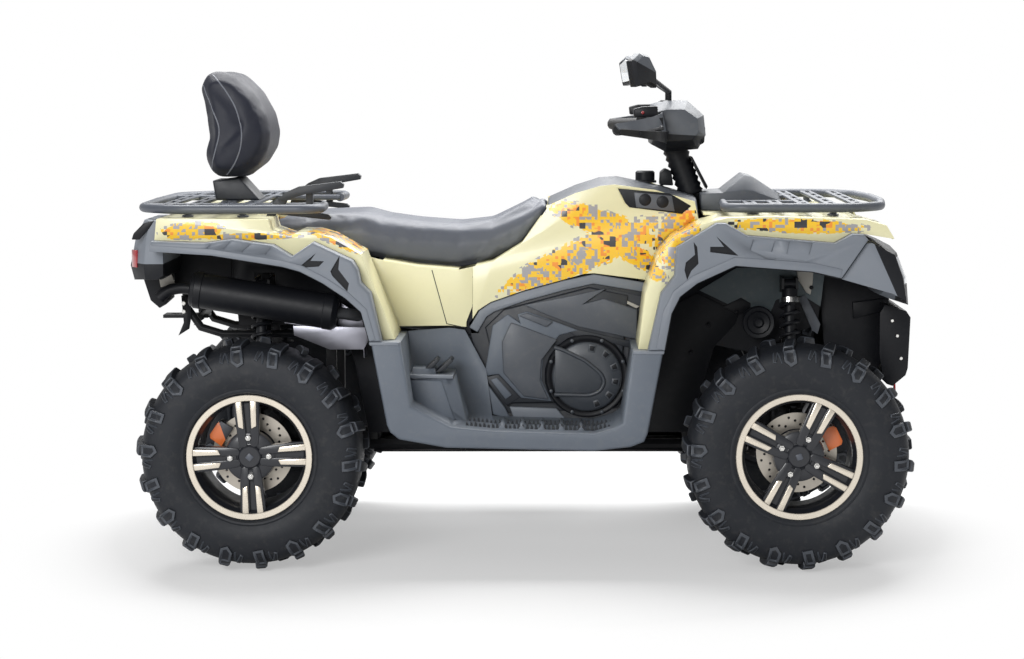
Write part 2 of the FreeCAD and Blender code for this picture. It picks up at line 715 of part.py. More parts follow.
def front_fender():
    cover = strip(front_top, skin_thickness, -fender_y, -268)
    band = slab(front_top + [(996, 905)] + front_join[1:], -fender_y, -fender_y + 6)
    deck = slab([(500, 962), (922, 955), (1000, 900), (1000, 894), (920, 949), (500, 956)], -269, 0)
    half = fused([cover, band, deck])
    return fused([half, mirrored(half)]).cut(column_room)


def front_flares():
    plate = slab(front_join[::-1] + front_arch[::-1], -flare_y, -fender_y - seat_gap)
    room = slab([(405, 640), (430, 760), (476, 797), (573, 843), (770, 828), (850, 810), (905, 895),
                 (880, 905), (838, 882), (595, 903), (540, 938), (522, 938), (425, 878), (420, 803),
                 (384, 756), (356, 640)], -556, -500)
    return both(plate.cut(room))


# The rear fender's deck, outer bands, and the sunk bay that the seat's tail rests in
def rear_fender():
    cover = strip(rear_top, skin_thickness, -rear_fender_y, -268)
    band = slab(rear_top + rear_join[::-1], -rear_fender_y, -rear_fender_y + 6)
    deck = slab([(-998, 962), (-755, 959.5), (-755, 953.5), (-998, 956)], -269, 0)
    bay_wall = slab([(-758, 957), (-695, 956), (-690, 930), (-639, 911), (-613, 922), (-571, 922),
                     (-524, 908), (-455, 868), (-452, 840), (-594, 865), (-680, 889), (-758, 911)],
                    -269, -263)
    ledge = seat_ledge(0, 4, -264, 0)
    step = box(-758, -752, -264, 0, 911, 956)
    half = fused([cover, band, deck, bay_wall, ledge, step])
    return fused([half, mirrored(half)])


def rear_flares():
    plate = slab(rear_join + rear_arch[::-1], -flare_y, -rear_fender_y - seat_gap)
    room = slab([(-990, 895), (-862, 890), (-780, 898), (-675, 882), (-624, 850), (-567, 888), (-470, 845),
                 (-458, 826), (-450, 786), (-424, 758), (-400, 660), (-425, 720), (-470, 762), (-534, 802),
                 (-598, 834), (-646, 846), (-837, 876), (-990, 888)], -556, -490)
    return both(plate.cut(room))


# Liners: a sheet above each wheel and an inner wall beside the frame
def arch_liners():
    top = strip(front_arch, 4, -540, -liner_y)
    wall = slab([(420, 750), (468, 789), (571, 836), (775, 820), (850, 802), (830, 640), (640, 560),
                 (440, 600)], -liner_y - 4, -liner_y)
    front = top.fuse(wall).cut(box(axle_x - 30, axle_x + 30, -300, 0, shock_top_z - 46, shock_top_z + 30))
    top = strip(rear_arch[1:][::-1], -4, -540, -liner_y)
    wall = slab([(-839, 866), (-649, 835), (-602, 822), (-540, 790), (-479, 749), (-440, 714), (-440, 640),
                 (-820, 640)], -liner_y - 4, -liner_y)
    top = top.cut(box(-470, -400, -300, -100, 600, 706))
    rear = top.fuse(wall).cut(box(-axle_x - 30, -axle_x + 30, -300, 0, shock_top_z - 46, shock_top_z + 30))
    return Part.makeCompound([front, mirrored(front), rear, mirrored(rear)])


# Nose, lamps and bumpers
def nose():
    side = [(857, 798), (995, 758), (1032, 737), (1021, 800), (999, 863), (940, 894), (922, 894)]
    mid = [(860, 790), (1010, 730), (1056, 715), (1050, 790), (1022, 860), (950, 893), (884, 893)]
    core = [(860, 790), (1020, 720), (1070, 706), (1064, 790), (1036, 862), (950, 893), (884, 893)]
    rings = [side_ring(side, -545), side_ring(side, -519), side_ring(mid, -400), side_ring(core, -150),
             side_ring(core, 150), side_ring(mid, 400), side_ring(side, 519), side_ring(side, 545)]
    whole = skin(rings)
    pocket = box(985, 1100, -470, -250, 775, 850)
    lamp_room = box(985 + seat_gap, 1100, -470 + seat_gap, -250 - seat_gap, 775 + seat_gap, 850 - seat_gap)
    lamp = whole.common(lamp_room)
    cowl = whole.cut(pocket).cut(mirrored(pocket))
    cowl = cowl.cut(box(850, 975, -520, 520, 700, nose_floor))
    return cowl, both(lamp)


def console():
    rings = []
    for y, rise in ((-140, 0.55), (-100, 1.0), (100, 1.0), (140, 0.55)):
        ring = [(500, 962.3), (500, 1010), (562, 1012), (626, 968 + 94 * rise), (650, 968 + 88 * rise),
                (722, 968 + 40 * rise), (745, 958.2)]
        rings.append(side_ring(ring, y))
    return skin(rings).cut(column_room)


def front_bumper():
    shield = slab([(1014, 700), (1074, 682), (1086, 664), (1080, 520), (1074, 500), (1037, 469),
                   (1022, 474), (1058, 516), (1064, 655), (1010, 676)], -230, 230)
    grille = []
    for i in range(4):
        z = 540 + i * 34
        grille.append(box(1000, 1100, -190, 190, z, z + 20))
    start = front_upright_x + post_half + seat_gap
    mounts = [rod(V(start, s * 130, z), V(1066, s * 130, z), 12, 4) for s in (-1, 1) for z in (530, 668)]
    cheek = slab([(1014, 700), (1074, 682), (1086, 664), (1080, 520), (1074, 500), (1037, 469),
                  (1012, 486), (1000, 560), (1000, 676)], -236, -226)
    return fused([shield.cut(fused(grille)), cheek, mirrored(cheek)] + mounts)


def winch():
    x = 965.0
    z = tray_top + seat_gap + flat(38, 12)
    drum = rod(V(x, -80, z), V(x, 80, z), 30)
    motor = rod(V(x, 80, z), V(x, 150, z), 38)
    gear = rod(V(x, -150, z), V(x, -80, z), 38)
    return fused([drum, motor, gear])


def tail():
    full = [(-985, 955.6), (-1045, 955.6), (-1070, 908), (-1086, 830), (-1076, 790), (-1000, 790),
            (-985, 800)]
    small = [(-985, 955.6), (-1018, 955.6), (-1030, 908), (-1038, 830), (-1034, 796), (-1000, 796),
             (-985, 806)]
    whole = skin([side_ring(small, -480), side_ring(full, -410), side_ring(full, -170)])
    lower = slab([(-1076, 792), (-1054, 721), (-1029, 699), (-1005, 720), (-1005, 792)], -285, -170)
    pocket = box(-1100, -1056, -402, -300, 800, 866)
    lamp_room = box(-1100, -1056 - seat_gap, -402 + seat_gap, -300 - seat_gap, 800 + seat_gap,
                    866 - seat_gap)
    lamp = whole.common(lamp_room)
    middle = box(-1040, -1003, -171, 171, 860, 940)
    right = whole.cut(pocket).fuse(lower)
    return fused([right, middle, mirrored(right)]), both(lamp)


# Racks
rack_z = 984.0
slat_radius = 11.0


# Half width of a rack's loop at x
def rack_half(loop, x):
    for a, b in zip(loop, loop[1:]):
        if min(a.x, b.x) <= x <= max(a.x, b.x) and abs(a.y) > 200 and abs(b.y) > 100 and a.x != b.x:
            return abs(a.y + (b.y - a.y) * (x - a.x) / (b.x - a.x)) - 6
    return abs(loop[2].y)


def rack_leg(line, x):
    foot = max(height_on(line, x - 10), height_on(line, x + 10)) + seat_gap
    return rod(V(x, -380, foot), V(x, -380, rack_z), 11, 4)


# Flat cross board of a rack
def board(x, y0, y1):
    top = rack_z + flat(slat_radius, 4)
    return box(x - 18, x + 18, y0, y1, top - 9, top)


def front_rack():
    z = rack_z
    loop = [V(560, -168, z), V(552, -396, z), V(590, -430, z), V(900, -430, z), V(985, -340, z),
            V(1012, -120, z), V(1012, 10, z)]
    half = bar(loop, 13, 6)
    inner = bar([V(560, -162, z), V(776, -162, z), V(776, 10, z)], 11, 4)
    slats = [board(x, -rack_half(loop, x), -160) for x in (630, 700)]
    slats += [board(x, -rack_half(loop, x), 1) for x in (776, 850, 925)]
    legs = [rack_leg(front_top, x) for x in (630, 850)]
    piece = fused([half, inner] + slats + legs)
    return fused([piece, mirrored(piece)])


def rear_rack():
    z = rack_z
    loop = [V(-566, -240, z), V(-560, -396, z), V(-600, -430, z), V(-960, -430, z), V(-1066, -330, z),
            V(-1074, 10, z)]
    half = bar(loop, 13, 6)
    slats = [board(x, -rack_half(loop, x), 1) for x in (-777, -850, -930, -1005)]
    rail = rod(V(-566, -240, z), V(-1066, -240, z), slat_radius, 4)
    legs = [rack_leg(rear_top, x) for x in (-777, -930)]
    piece = fused([half, rail] + slats + legs)
    return fused([piece, mirrored(piece)])


# Seat and passenger's support
def seat():
    stations = [(-751, 150, 928, 916), (-680, 180, 938, 896), (-594, 192, 952, 872), (-461, 196, 957, 846),
                (-400, 190, 940, 832), (-307, 178, 927, 815), (-187, 166, 918, 804), (-92, 160, 929, 825),
                (-9, 150, 971, 876), (44, 138, 1003, 950), (64, 130, 1000, 978)]
    rings = []
    for x, half, top, low in stations:
        rise = top - low
        rings.append([V(x, -half, low), V(x, -half - 6, low + 0.5 * rise),
                      V(x, -half + 12, low + 0.85 * rise), V(x, -0.6 * half, top - 2), V(x, 0, top),
                      V(x, 0.6 * half, top - 2), V(x, half - 12, low + 0.85 * rise),
                      V(x, half + 6, low + 0.5 * rise), V(x, half, low)])
    return skin(rings)


def backrest():
    ring = [(-881, 1050), (-814, 1059), (-764, 1091), (-734, 1140), (-728, 1184), (-741, 1239),
            (-778, 1304), (-832, 1353), (-865, 1367), (-892, 1371), (-916, 1361), (-925, 1329),
            (-912, 1283), (-900, 1174), (-910, 1124), (-905, 1070)]
    cx, cz = -840.0, 1200.0
    small = [(cx + (x - cx) * 0.8, cz + (z - cz) * 0.82) for x, z in ring]
    return skin([side_ring(small, -175), side_ring(ring, -130), side_ring(ring, 130),
                 side_ring(small, 175)])


def backrest_post():
    foot = rack_z + flat(slat_radius, 4) + seat_gap
    return slab([(-905, 1049.4), (-896, foot), (-768, foot), (-826, 1056.9), (-881, 1049.6)], -75, 75)


# Thick moulded handles beside the passenger, each with a foot plate and a lower bar
def grab_handles():
    deck = height_on(rear_top, -712) + seat_gap
    foot = slab([(-722, deck), (-698, deck), (-668, 992), (-660, 1014), (-692, 1008), (-716, 980)],
                -300, -276)
    grip = slab([(-690, 1006), (-664, 1026), (-632, 1040), (-514, 1054), (-505, 1046), (-507, 1036),
                 (-625, 1016), (-668, 1000)], -306, -270)
    lower = slab([(-706, 982), (-548, 962), (-540, 954), (-546, 947), (-700, 964)], -300, -276)
    link = slab([(-611, 962), (-592, 960), (-592, 1026), (-611, 1024)], -298, -278)
    return both(fused([foot, grip, lower, link]))


# Exhaust
def muffler():
    start = V(-933, -330, 757)
    end = V(-522, -330, 689)
    body = rod(start, end, 50, 16)
    band = rod(start + (end - start) * 0.03, start + (end - start) * 0.08, 53, 16)
    pipe = bar([V(-920, -330, 755), V(-960, -330, 762), V(-998, -330, 754), V(-1024, -330, 730)], 17, 6)
    head = bar([V(-530, -330, 690), V(-480, -310, 682), V(-420, -222, 655), V(-200, -205, 640),
                V(118, -190, 640), V(118, -90 - seat_gap, 640)], 17, 6)
    return fused([body, band, pipe, head])


def heat_shield():
    line = [(-672, 663.4), (-530, 639.8), (-450, 596), (-448, 562)]
    return strip(line, 3, -330, -240)


right_front = V(axle_x, -overall_half_width + front_tyre_width / 2, axle_z)
right_rear = V(-axle_x, -overall_half_width + rear_tyre_width / 2, axle_z)
for name, centre, width, turn in (("front", right_front, front_tyre_width, front_rim_turn),
                                  ("rear", right_rear, rear_tyre_width, rear_rim_turn)):
    tyre_shape = tyre(centre, width)
    rim_shape = rim(centre, width, turn)
    export("tyre_" + name + "_right", tyre_shape)
    export("tyre_" + name + "_left", mirrored(tyre_shape))
    export("rim_" + name + "_right", rim_shape)
    export("rim_" + name + "_left", mirrored(rim_shape))
knuckle = upright(axle_x, True)
export("knuckle_right", knuckle)
export("knuckle_left", mirrored(knuckle))
front_caliper = caliper(axle_x, 25)
export("caliper_right", front_caliper)
export("caliper_left", mirrored(front_caliper))
export("rear_uprights", both(upright(-axle_x, False)))
export("rear_calipers", both(caliper(-axle_x, 146)))
arms = wishbones(axle_x) + wishbones(-axle_x)
export("wishbones", Part.makeCompound([both(arm) for arm in arms]))
struts = [shock(V(x, -shock_top_y, shock_top_z), V(x, -shock_foot_y, shock_foot_z))
          for x in (axle_x, -axle_x)]
export("shocks", Part.makeCompound([both(strut) for strut in struts]))
export("axle_drives", Part.makeCompound([axle_drive(axle_x), axle_drive(-axle_x)]))
rod_shape = tie_rod()
export("tie_rod_right", rod_shape)
export("tie_rod_left", mirrored(rod_shape))
export("handlebar", handlebar())
export("grips", grips())
export("levers", levers())
export("handlebar_pod", handlebar_pod())
mirror_head, mirror_stalk = mirrors()
export("mirrors", both(mirror_head.fuse(mirror_stalk)))
export("main_rails", rails())
export("frame_members", Part.makeCompound(frame_posts() + cross_members()))
export("axle_cages", Part.makeCompound(axle_cage(axle_x) + axle_cage(-axle_x)))
export("towing_frame", towing_frame())
export("footwell_brackets", Part.makeCompound(footwell_brackets()))
export("engine_block", engine_block())
export("engine_covers", engine_covers())
export("engine_side_panels", engine_side_panels())
export("footrests", footrests())
rear_sides, front_sides = body_sides()
export("side_panels", rear_sides)
export("tank_sides", front_sides)
export("tank_cover", tank_cover())
export("front_fender", front_fender())
export("front_flares", front_flares())
export("rear_fender", rear_fender())
export("rear_flares", rear_flares())
export("arch_liners", arch_liners())
cowl, lamps = nose()
export("nose_cowl", cowl)
export("headlights", lamps)
export("console_cowl", console())
export("front_bumper", front_bumper())
export("winch", winch())
tail_unit, tail_lamps = tail()
export("tail_unit", tail_unit)
export("tail_lamps", tail_lamps)
export("front_rack", front_rack())
export("rear_rack", rear_rack())
export("seat", seat())
export("backrest", backrest())
export("backrest_post", backrest_post())
export("grab_handles", grab_handles())
export("muffler", muffler())
export("heat_shield", heat_shield())
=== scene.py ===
import bpy
import bmesh
import json
import math
from mathutils import Matrix, Vector
from mathutils.bvhtree import BVHTree

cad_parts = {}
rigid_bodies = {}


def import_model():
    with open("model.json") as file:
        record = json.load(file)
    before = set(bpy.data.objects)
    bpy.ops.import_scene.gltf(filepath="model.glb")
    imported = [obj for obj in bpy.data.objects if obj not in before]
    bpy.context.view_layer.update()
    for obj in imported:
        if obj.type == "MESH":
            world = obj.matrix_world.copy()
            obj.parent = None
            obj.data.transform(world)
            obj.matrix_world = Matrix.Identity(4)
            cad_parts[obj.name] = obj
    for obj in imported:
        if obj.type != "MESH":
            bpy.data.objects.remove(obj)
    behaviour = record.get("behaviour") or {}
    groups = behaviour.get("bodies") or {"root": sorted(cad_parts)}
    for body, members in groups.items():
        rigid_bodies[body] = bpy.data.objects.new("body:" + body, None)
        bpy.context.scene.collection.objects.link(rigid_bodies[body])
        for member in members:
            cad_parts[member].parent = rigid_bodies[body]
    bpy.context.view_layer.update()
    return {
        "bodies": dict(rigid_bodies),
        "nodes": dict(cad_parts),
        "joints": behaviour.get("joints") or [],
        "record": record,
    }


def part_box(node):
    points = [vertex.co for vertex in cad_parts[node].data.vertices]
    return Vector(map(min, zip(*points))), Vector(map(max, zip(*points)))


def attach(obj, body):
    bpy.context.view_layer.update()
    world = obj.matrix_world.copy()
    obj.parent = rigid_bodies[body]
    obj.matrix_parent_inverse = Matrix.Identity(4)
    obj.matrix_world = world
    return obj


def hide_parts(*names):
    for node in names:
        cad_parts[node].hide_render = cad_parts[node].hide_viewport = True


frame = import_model()
nodes = frame["nodes"]
print("frame loaded:", len(nodes), "nodes")

# Camera, as the photograph was taken: metres and radians, lens and sensor in millimetres
camera = {"place": (0.1198, -7.1176, 1.3438), "yaw": 0.0229, "pitch": 0.1031, "roll": -0.0040,
          "lens": 85.96, "sensor": 36.0}


def setCamera():
    data = bpy.data.cameras.new("camera")
    data.lens = camera["lens"]
    data.sensor_width = camera["sensor"]
    eye = bpy.data.objects.new("camera", data)
    turn = Matrix.Rotation(camera["yaw"], 4, "Z") @ Matrix.Rotation(math.pi / 2 - camera["pitch"], 4, "X")
    eye.matrix_world = Matrix.Translation(camera["place"]) @ turn @ Matrix.Rotation(camera["roll"], 4, "Z")
    bpy.context.scene.collection.objects.link(eye)
    bpy.context.scene.camera = eye


setCamera()


# A socket that takes part in sums, and one way to add any other node
class Wire:
    def __init__(self, tree, socket=None):
        self.tree = tree
        self.socket = socket

    def node(self, kind, settings=None, inputs=None, out=0):
        made = self.tree.nodes.new(kind)
        for key, value in (settings or {}).items():
            if key == "stops":
                for spot, (place, tint) in enumerate(value):
                    if spot < 2:
                        made.color_ramp.elements[spot].position = place
                    else:
                        made.color_ramp.elements.new(place)
                    made.color_ramp.elements[spot].color = (*tint, 1.0)
            else:
                setattr(made, key, value)
        for key, value in (inputs or {}).items():
            if isinstance(value, Wire):
                self.tree.links.new(value.socket, made.inputs[key])
            else:
                made.inputs[key].default_value = value
        return Wire(self.tree, made.outputs[out])

    def sum(self, operation, first, second=0.0):
        return self.node("ShaderNodeMath", {"operation": operation}, {0: first, 1: second})

    def __add__(self, other):
        return self.sum("ADD", self, other)

    def __radd__(self, other):
        return self.sum("ADD", other, self)

    def __sub__(self, other):
        return self.sum("SUBTRACT", self, other)

    def __rsub__(self, other):
        return self.sum("SUBTRACT", other, self)

    def __mul__(self, other):
        return self.sum("MULTIPLY", self, other)

    def __rmul__(self, other):
        return self.sum("MULTIPLY", other, self)

    def __gt__(self, other):
        return self.sum("GREATER_THAN", self, other)

    def __lt__(self, other):
        return self.sum("LESS_THAN", self, other)

    def axis(self, name):
        return self.node("ShaderNodeSeparateXYZ", None, {0: self}, "XYZ".index(name))

    def noise(self, scale, detail=2.0, roughness=0.5):
        return self.node("ShaderNodeTexNoise", None,
                         {"Vector": self, "Scale": scale, "Detail": detail, "Roughness": roughness})

    def ramp(self, low, high):
        return self.node("ShaderNodeMapRange", None, {"Value": self, "From Min": low, "From Max": high})

    def mixed(self, first, second):
        return self.node("ShaderNodeMix", {"data_type": "RGBA"}, {0: self, 6: first, 7: second}, 2)


def newMaterial(name):
    material = bpy.data.materials.new(name)
    material.use_nodes = True
    tree = material.node_tree
    shader = tree.nodes["Principled BSDF"]
    place = Wire(tree).node("ShaderNodeTexCoord", None, None, "Object")
    return material, tree, shader, place


def feed(tree, shader, key, value):
    if isinstance(value, Wire):
        tree.links.new(value.socket, shader.inputs[key])
    else:
        shader.inputs[key].default_value = value


def scaled(tint, factor):
    return (tint[0] * factor, tint[1] * factor, tint[2] * factor, 1.0)


# What all finishes share: the dust's tint, scale and limits, how roughness varies, how deep a grain is
finishLook = {"dustTint": (0.36, 0.33, 0.28, 1.0), "dustScale": 45.0, "dustFrom": 0.52, "dustFull": 0.80,
              "roughScale": 60.0, "roughSpread": 0.16, "coatRough": 0.12, "grainDeep": 0.0004}


# One finish: a tint with a soft drift in it, specks of dust, a grain and a roughness that varies
def finish(name, tint, rough, metal=0.0, grain=0.0, grainScale=900.0, drift=0.10, coat=0.0, dust=0.0,
           driftScale=7.0, pattern=None, sheen=0.5):
    material, tree, shader, place = newMaterial(name)
    cloud = place.noise(driftScale, 3.0)
    colour = cloud.mixed(scaled(tint, 1.0 - drift), scaled(tint, 1.0 + drift))
    if dust:
        speck = place.noise(finishLook["dustScale"], 5.0, 0.65)
        speck = speck.ramp(finishLook["dustFrom"], finishLook["dustFull"]) * dust
        colour = speck.mixed(colour, finishLook["dustTint"])
    if pattern:
        colour = pattern(place, colour)
    spread = finishLook["roughSpread"]
    roughness = place.noise(finishLook["roughScale"], 3.0) * spread + (rough - spread / 2)
    feed(tree, shader, "Base Color", colour)
    feed(tree, shader, "Roughness", roughness)
    feed(tree, shader, "Metallic", metal)
    feed(tree, shader, "Coat Weight", coat)
    feed(tree, shader, "Coat Roughness", finishLook["coatRough"])
    feed(tree, shader, "Specular IOR Level", sheen)
    if grain:
        bump = place.node("ShaderNodeBump", None, {"Strength": grain, "Distance": finishLook["grainDeep"],
                                                   "Height": place.noise(grainScale, 2.0)})
        feed(tree, shader, "Normal", bump)
    return material


# Block pattern of the body's stickers: cells of two sizes, thinned out towards the edges of slanted bands
stickers = {"cell": 0.0085, "largeCell": 0.017, "patchScale": 16.0, "thinning": (0.55, 0.25), "edge": 0.08,
            "toneMix": (0.3, 0.3, 0.8), "yellow": (0.93, 0.56, 0.02, 1.0), "yellowFrom": 0.60,
            "orange": (0.88, 0.30, 0.03, 1.0), "orangeFrom": 0.84, "grey": (0.36, 0.35, 0.36, 1.0),
            "black": (0.03, 0.03, 0.035, 1.0), "blackFrom": 0.98}
# Each band: middle x and z, slope in degrees, half length, half width
stickerBands = [(0.160, 0.842, 24.0, 0.250, 0.050), (0.215, 0.935, -18.0, 0.170, 0.040),
                (0.420, 0.905, 62.0, 0.090, 0.050), (0.305, 0.846, -32.0, 0.100, 0.030),
                (0.735, 0.940, -2.0, 0.190, 0.020), (-0.900, 0.930, 3.0, 0.090, 0.025),
                (-0.740, 0.914, 1.0, 0.150, 0.010), (-0.520, 0.915, -24.0, 0.130, 0.022)]


def blockNoise(place, size, seed):
    cells = place.node("ShaderNodeVectorMath", {"operation": "SNAP"}, {0: place, 1: (size, 2 * size, size)})
    moved = place.node("ShaderNodeVectorMath", {"operation": "ADD"}, {0: cells, 1: (seed, seed, seed)})
    return place.node("ShaderNodeTexWhiteNoise", {"noise_dimensions": "3D"}, {"Vector": moved})


def stickerPattern(place, colour):
    x = place.axis("X")
    z = place.axis("Z")
    cover = None
    for midX, midZ, slope, length, width in stickerBands:
        lean = math.radians(slope)
        along = (x - midX) * math.cos(lean) + (z - midZ) * math.sin(lean)
        aside = (z - midZ) * math.cos(lean) - (x - midX) * math.sin(lean)
        reach = place.sum("POWER", along * (1.0 / length), 2.0)
        reach = reach + place.sum("POWER", aside * (1.0 / width), 2.0)
        inBand = (1.0 - reach).ramp(-0.35, 0.55)
        cover = inBand if cover is None else place.sum("MAXIMUM", cover, inBand)
    fine = blockNoise(place, stickers["cell"], 3.1)
    coarse = blockNoise(place, stickers["largeCell"], 7.7)
    patch = place.noise(stickers["patchScale"], 1.0)
    thinFine, thinCoarse = stickers["thinning"]
    inside = (cover - fine * thinFine - coarse * thinCoarse) > stickers["edge"]
    mixFine, mixCoarse, mixPatch = stickers["toneMix"]
    tone = fine * mixFine + coarse * mixCoarse + patch * mixPatch
    ink = (tone > stickers["yellowFrom"]).mixed(stickers["grey"], stickers["yellow"])
    ink = (tone > stickers["orangeFrom"]).mixed(ink, stickers["orange"])
    ink = (coarse * 0.5 + patch > stickers["blackFrom"]).mixed(ink, stickers["black"])
    return inside.mixed(colour, ink)


looks = {
    "sand": finish("sandPlastic", (0.80, 0.76, 0.475), 0.36, grain=0.05, drift=0.03, coat=0.25, dust=0.06),
    "sandSticker": finish("sandStickerPlastic", (0.80, 0.76, 0.475), 0.33, grain=0.05, drift=0.03,
                          coat=0.3, dust=0.05, pattern=stickerPattern),
    "flare": finish("flarePlastic", (0.168, 0.187, 0.217), 0.50, grain=0.30, dust=0.08),
    "panel": finish("panelPlastic", (0.078, 0.087, 0.103), 0.46, grain=0.25, dust=0.08),
    "well": finish("wellPlastic", (0.105, 0.124, 0.153), 0.50, grain=0.30, dust=0.08),
    "liner": finish("linerPlastic", (0.070, 0.092, 0.102), 0.55, grain=0.20, dust=0.10),
    # Pale finish: real brackets, and also the painted highlight in the engine panel's slot
    "pale": finish("paleBracketAndHighlight", (0.42, 0.40, 0.36), 0.50, grain=0.15, dust=0.15),
    "black": finish("blackPlastic", (0.0070, 0.0078, 0.0105), 0.46, grain=0.25, dust=0.015, sheen=0.25),
    "pit": finish("pitPlastic", (0.017, 0.020, 0.026), 0.50, grain=0.20, dust=0.03),
    # Lighter rubber on the bevelled edges of the tyre lugs: a painted highlight
    "rubberPaintedHighlight": finish("tyrePaintedHighlight", (0.050, 0.057, 0.070), 0.50, grain=0.20, drift=0.2, dust=0.05),
    "cover": finish("coverPlastic", (0.050, 0.057, 0.068), 0.40, grain=0.20, dust=0.05),
    "rack": finish("rackPaint", (0.078, 0.088, 0.110), 0.44, grain=0.20, grainScale=500.0, dust=0.06),
    "paint": finish("blackPaint", (0.0060, 0.0066, 0.0085), 0.40, grain=0.10, grainScale=500.0,
                    dust=0.02, sheen=0.3),
    "rubber": finish("tyreRubber", (0.0130, 0.0150, 0.0195), 0.55, grain=0.35, grainScale=260.0,
                     drift=0.18, dust=0.05, sheen=0.3),
    "rimBlack": finish("rimBlack", (0.0150, 0.0165, 0.0215), 0.34, grain=0.05, coat=0.3, sheen=0.4),
    "machined": finish("machinedAlloy", (0.76, 0.69, 0.585), 0.28, metal=0.75, grain=0.10,
                       grainScale=1400.0),
    "cast": finish("castAlloy", (0.10, 0.104, 0.112), 0.50, metal=0.7, grain=0.4, grainScale=420.0,
                   dust=0.1),
    "forged": finish("forgedSteel", (0.060, 0.062, 0.068), 0.45, metal=0.8, grain=0.3, dust=0.1),
    "discSteel": finish("discSteel", (0.50, 0.46, 0.40), 0.34, metal=0.85, grain=0.15, grainScale=700.0),
    "shield": finish("shieldSteel", (0.36, 0.36, 0.41), 0.36, metal=0.9, grain=0.35, grainScale=90.0,
                     drift=0.2),
    "vinyl": finish("seatVinyl", (0.085, 0.094, 0.118), 0.46, grain=0.5, grainScale=650.0, dust=0.05),
    "vinylDark": finish("seatVinylDark", (0.014, 0.016, 0.027), 0.50, grain=0.5, grainScale=650.0,
                        dust=0.02, sheen=0.3),
    "piping": finish("seatPiping", (0.16, 0.17, 0.20), 0.40, grain=0.2),
    "grip": finish("gripRubber", (0.020, 0.020, 0.022), 0.60, grain=0.6, grainScale=420.0),
    "caliper": finish("caliperPaint", (0.80, 0.19, 0.045), 0.35, coat=0.5, drift=0.05, dust=0.08),
    "chrome": finish("nutSteel", (0.80, 0.79, 0.76), 0.16, metal=1.0, grain=0.05),
    "lens": finish("lampLens", (0.62, 0.66, 0.72), 0.10, metal=0.2, drift=0.2, driftScale=40.0, coat=1.0),
    "red": finish("redLens", (0.34, 0.020, 0.025), 0.14, drift=0.15, driftScale=60.0, coat=1.0),
    "mirror": finish("mirrorGlass", (0.90, 0.92, 0.94), 0.10, metal=0.6, drift=0.02, coat=0.5),
    "strap": finish("winchStrap", (0.62, 0.02, 0.03), 0.6, grain=0.4, grainScale=300.0),
}
print("finishes made:", len(looks))


def linked(mesh, name):
    piece = bpy.data.objects.new(name, mesh)
    bpy.context.scene.collection.objects.link(piece)
    return piece


# Turns a bmesh into a finished piece that rides on a body; smooth is in degrees
def makePiece(bm, name, body, finishes, replaced=(), smooth=35.0):
    mesh = bpy.data.meshes.new(name)
    bm.to_mesh(mesh)
    bm.free()
    mesh.polygons.foreach_set("use_smooth", [True] * len(mesh.polygons))
    mesh.set_sharp_from_angle(angle=math.radians(smooth))
    piece = linked(mesh, name)
    for key in finishes:
        mesh.materials.append(looks[key])
    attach(piece, body)
    if replaced:
        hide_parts(*replaced)
    return piece


def addTo(whole, part, finishIndex=None):
    if finishIndex is not None:
        for face in part.faces:
            face.material_index = finishIndex
    mesh = bpy.data.meshes.new("part")
    part.to_mesh(mesh)
    part.free()
    whole.from_mesh(mesh)
    bpy.data.meshes.remove(mesh)


def mergedCopy(node):
    bm = bmesh.new()
    bm.from_mesh(nodes[node].data)
    bmesh.ops.remove_doubles(bm, verts=bm.verts, dist=0.00003)
    bmesh.ops.dissolve_limit(bm, angle_limit=math.radians(0.6), verts=bm.verts[:], edges=bm.edges[:])
    return bm


def sharpEdges(bm, angle):
    return [edge for edge in bm.edges if edge.calc_face_angle(0.0) > math.radians(angle)]


def bevelEdges(bm, edges, width, segments=2):
    return bmesh.ops.bevel(bm, geom=edges, offset=width, offset_type="OFFSET", segments=segments,
                           profile=0.5, affect="EDGES", clamp_overlap=True, material=-1)


def bevelSharp(bm, width, angle=28.0):
    bevelEdges(bm, sharpEdges(bm, angle), width)


def bisect(bm, point, normal):
    bmesh.ops.bisect_plane(bm, geom=bm.verts[:] + bm.edges[:] + bm.faces[:], dist=0.00001, plane_co=point,
                           plane_no=normal)


# A rounded copy of a node whose faces beyond a plane take the second finish
def twoTone(node, edge, point, normal):
    bm = mergedCopy(node)
    bevelSharp(bm, edge)
    bisect(bm, point, normal)
    for face in bm.faces:
        away = face.calc_center_median() - Vector(point)
        face.material_index = 1 if away.dot(Vector(normal)) > 0 else 0
    return bm


# A shape spun round the Y axis from (radius, y) points
def spun(points, steps, closedLine=False):
    bm = bmesh.new()
    verts = [bm.verts.new((radius, y, 0.0)) for radius, y in points]
    edges = [bm.edges.new(pair) for pair in zip(verts, verts[1:])]
    if closedLine:
        edges.append(bm.edges.new((verts[-1], verts[0])))
    bmesh.ops.spin(bm, geom=verts + edges, cent=(0, 0, 0), axis=(0, 1, 0), angle=2 * math.pi, steps=steps,
                   use_merge=True)
    bmesh.ops.remove_doubles(bm, verts=bm.verts, dist=0.000001)
    bmesh.ops.recalc_face_normals(bm, faces=bm.faces)
    return bm


# A flat shape in the XZ plane from y low to y high, with rounded edges
def plate(points, low, high, bevel=0.0):
    bm = bmesh.new()
    face = bm.faces.new([bm.verts.new((x, low, z)) for x, z in points])
    made = bmesh.ops.extrude_face_region(bm, geom=[face])
    moved = [item for item in made["geom"] if isinstance(item, bmesh.types.BMVert)]
    bmesh.ops.translate(bm, vec=(0, high - low, 0), verts=moved)
    bmesh.ops.recalc_face_normals(bm, faces=bm.faces)
    if bevel:
        bevelEdges(bm, bm.edges[:], bevel)
    return bm


def turned(bm, angle, centre=(0, 0, 0), axis="Y"):
    bmesh.ops.rotate(bm, cent=centre, matrix=Matrix.Rotation(angle, 3, axis), verts=bm.verts)
    return bm


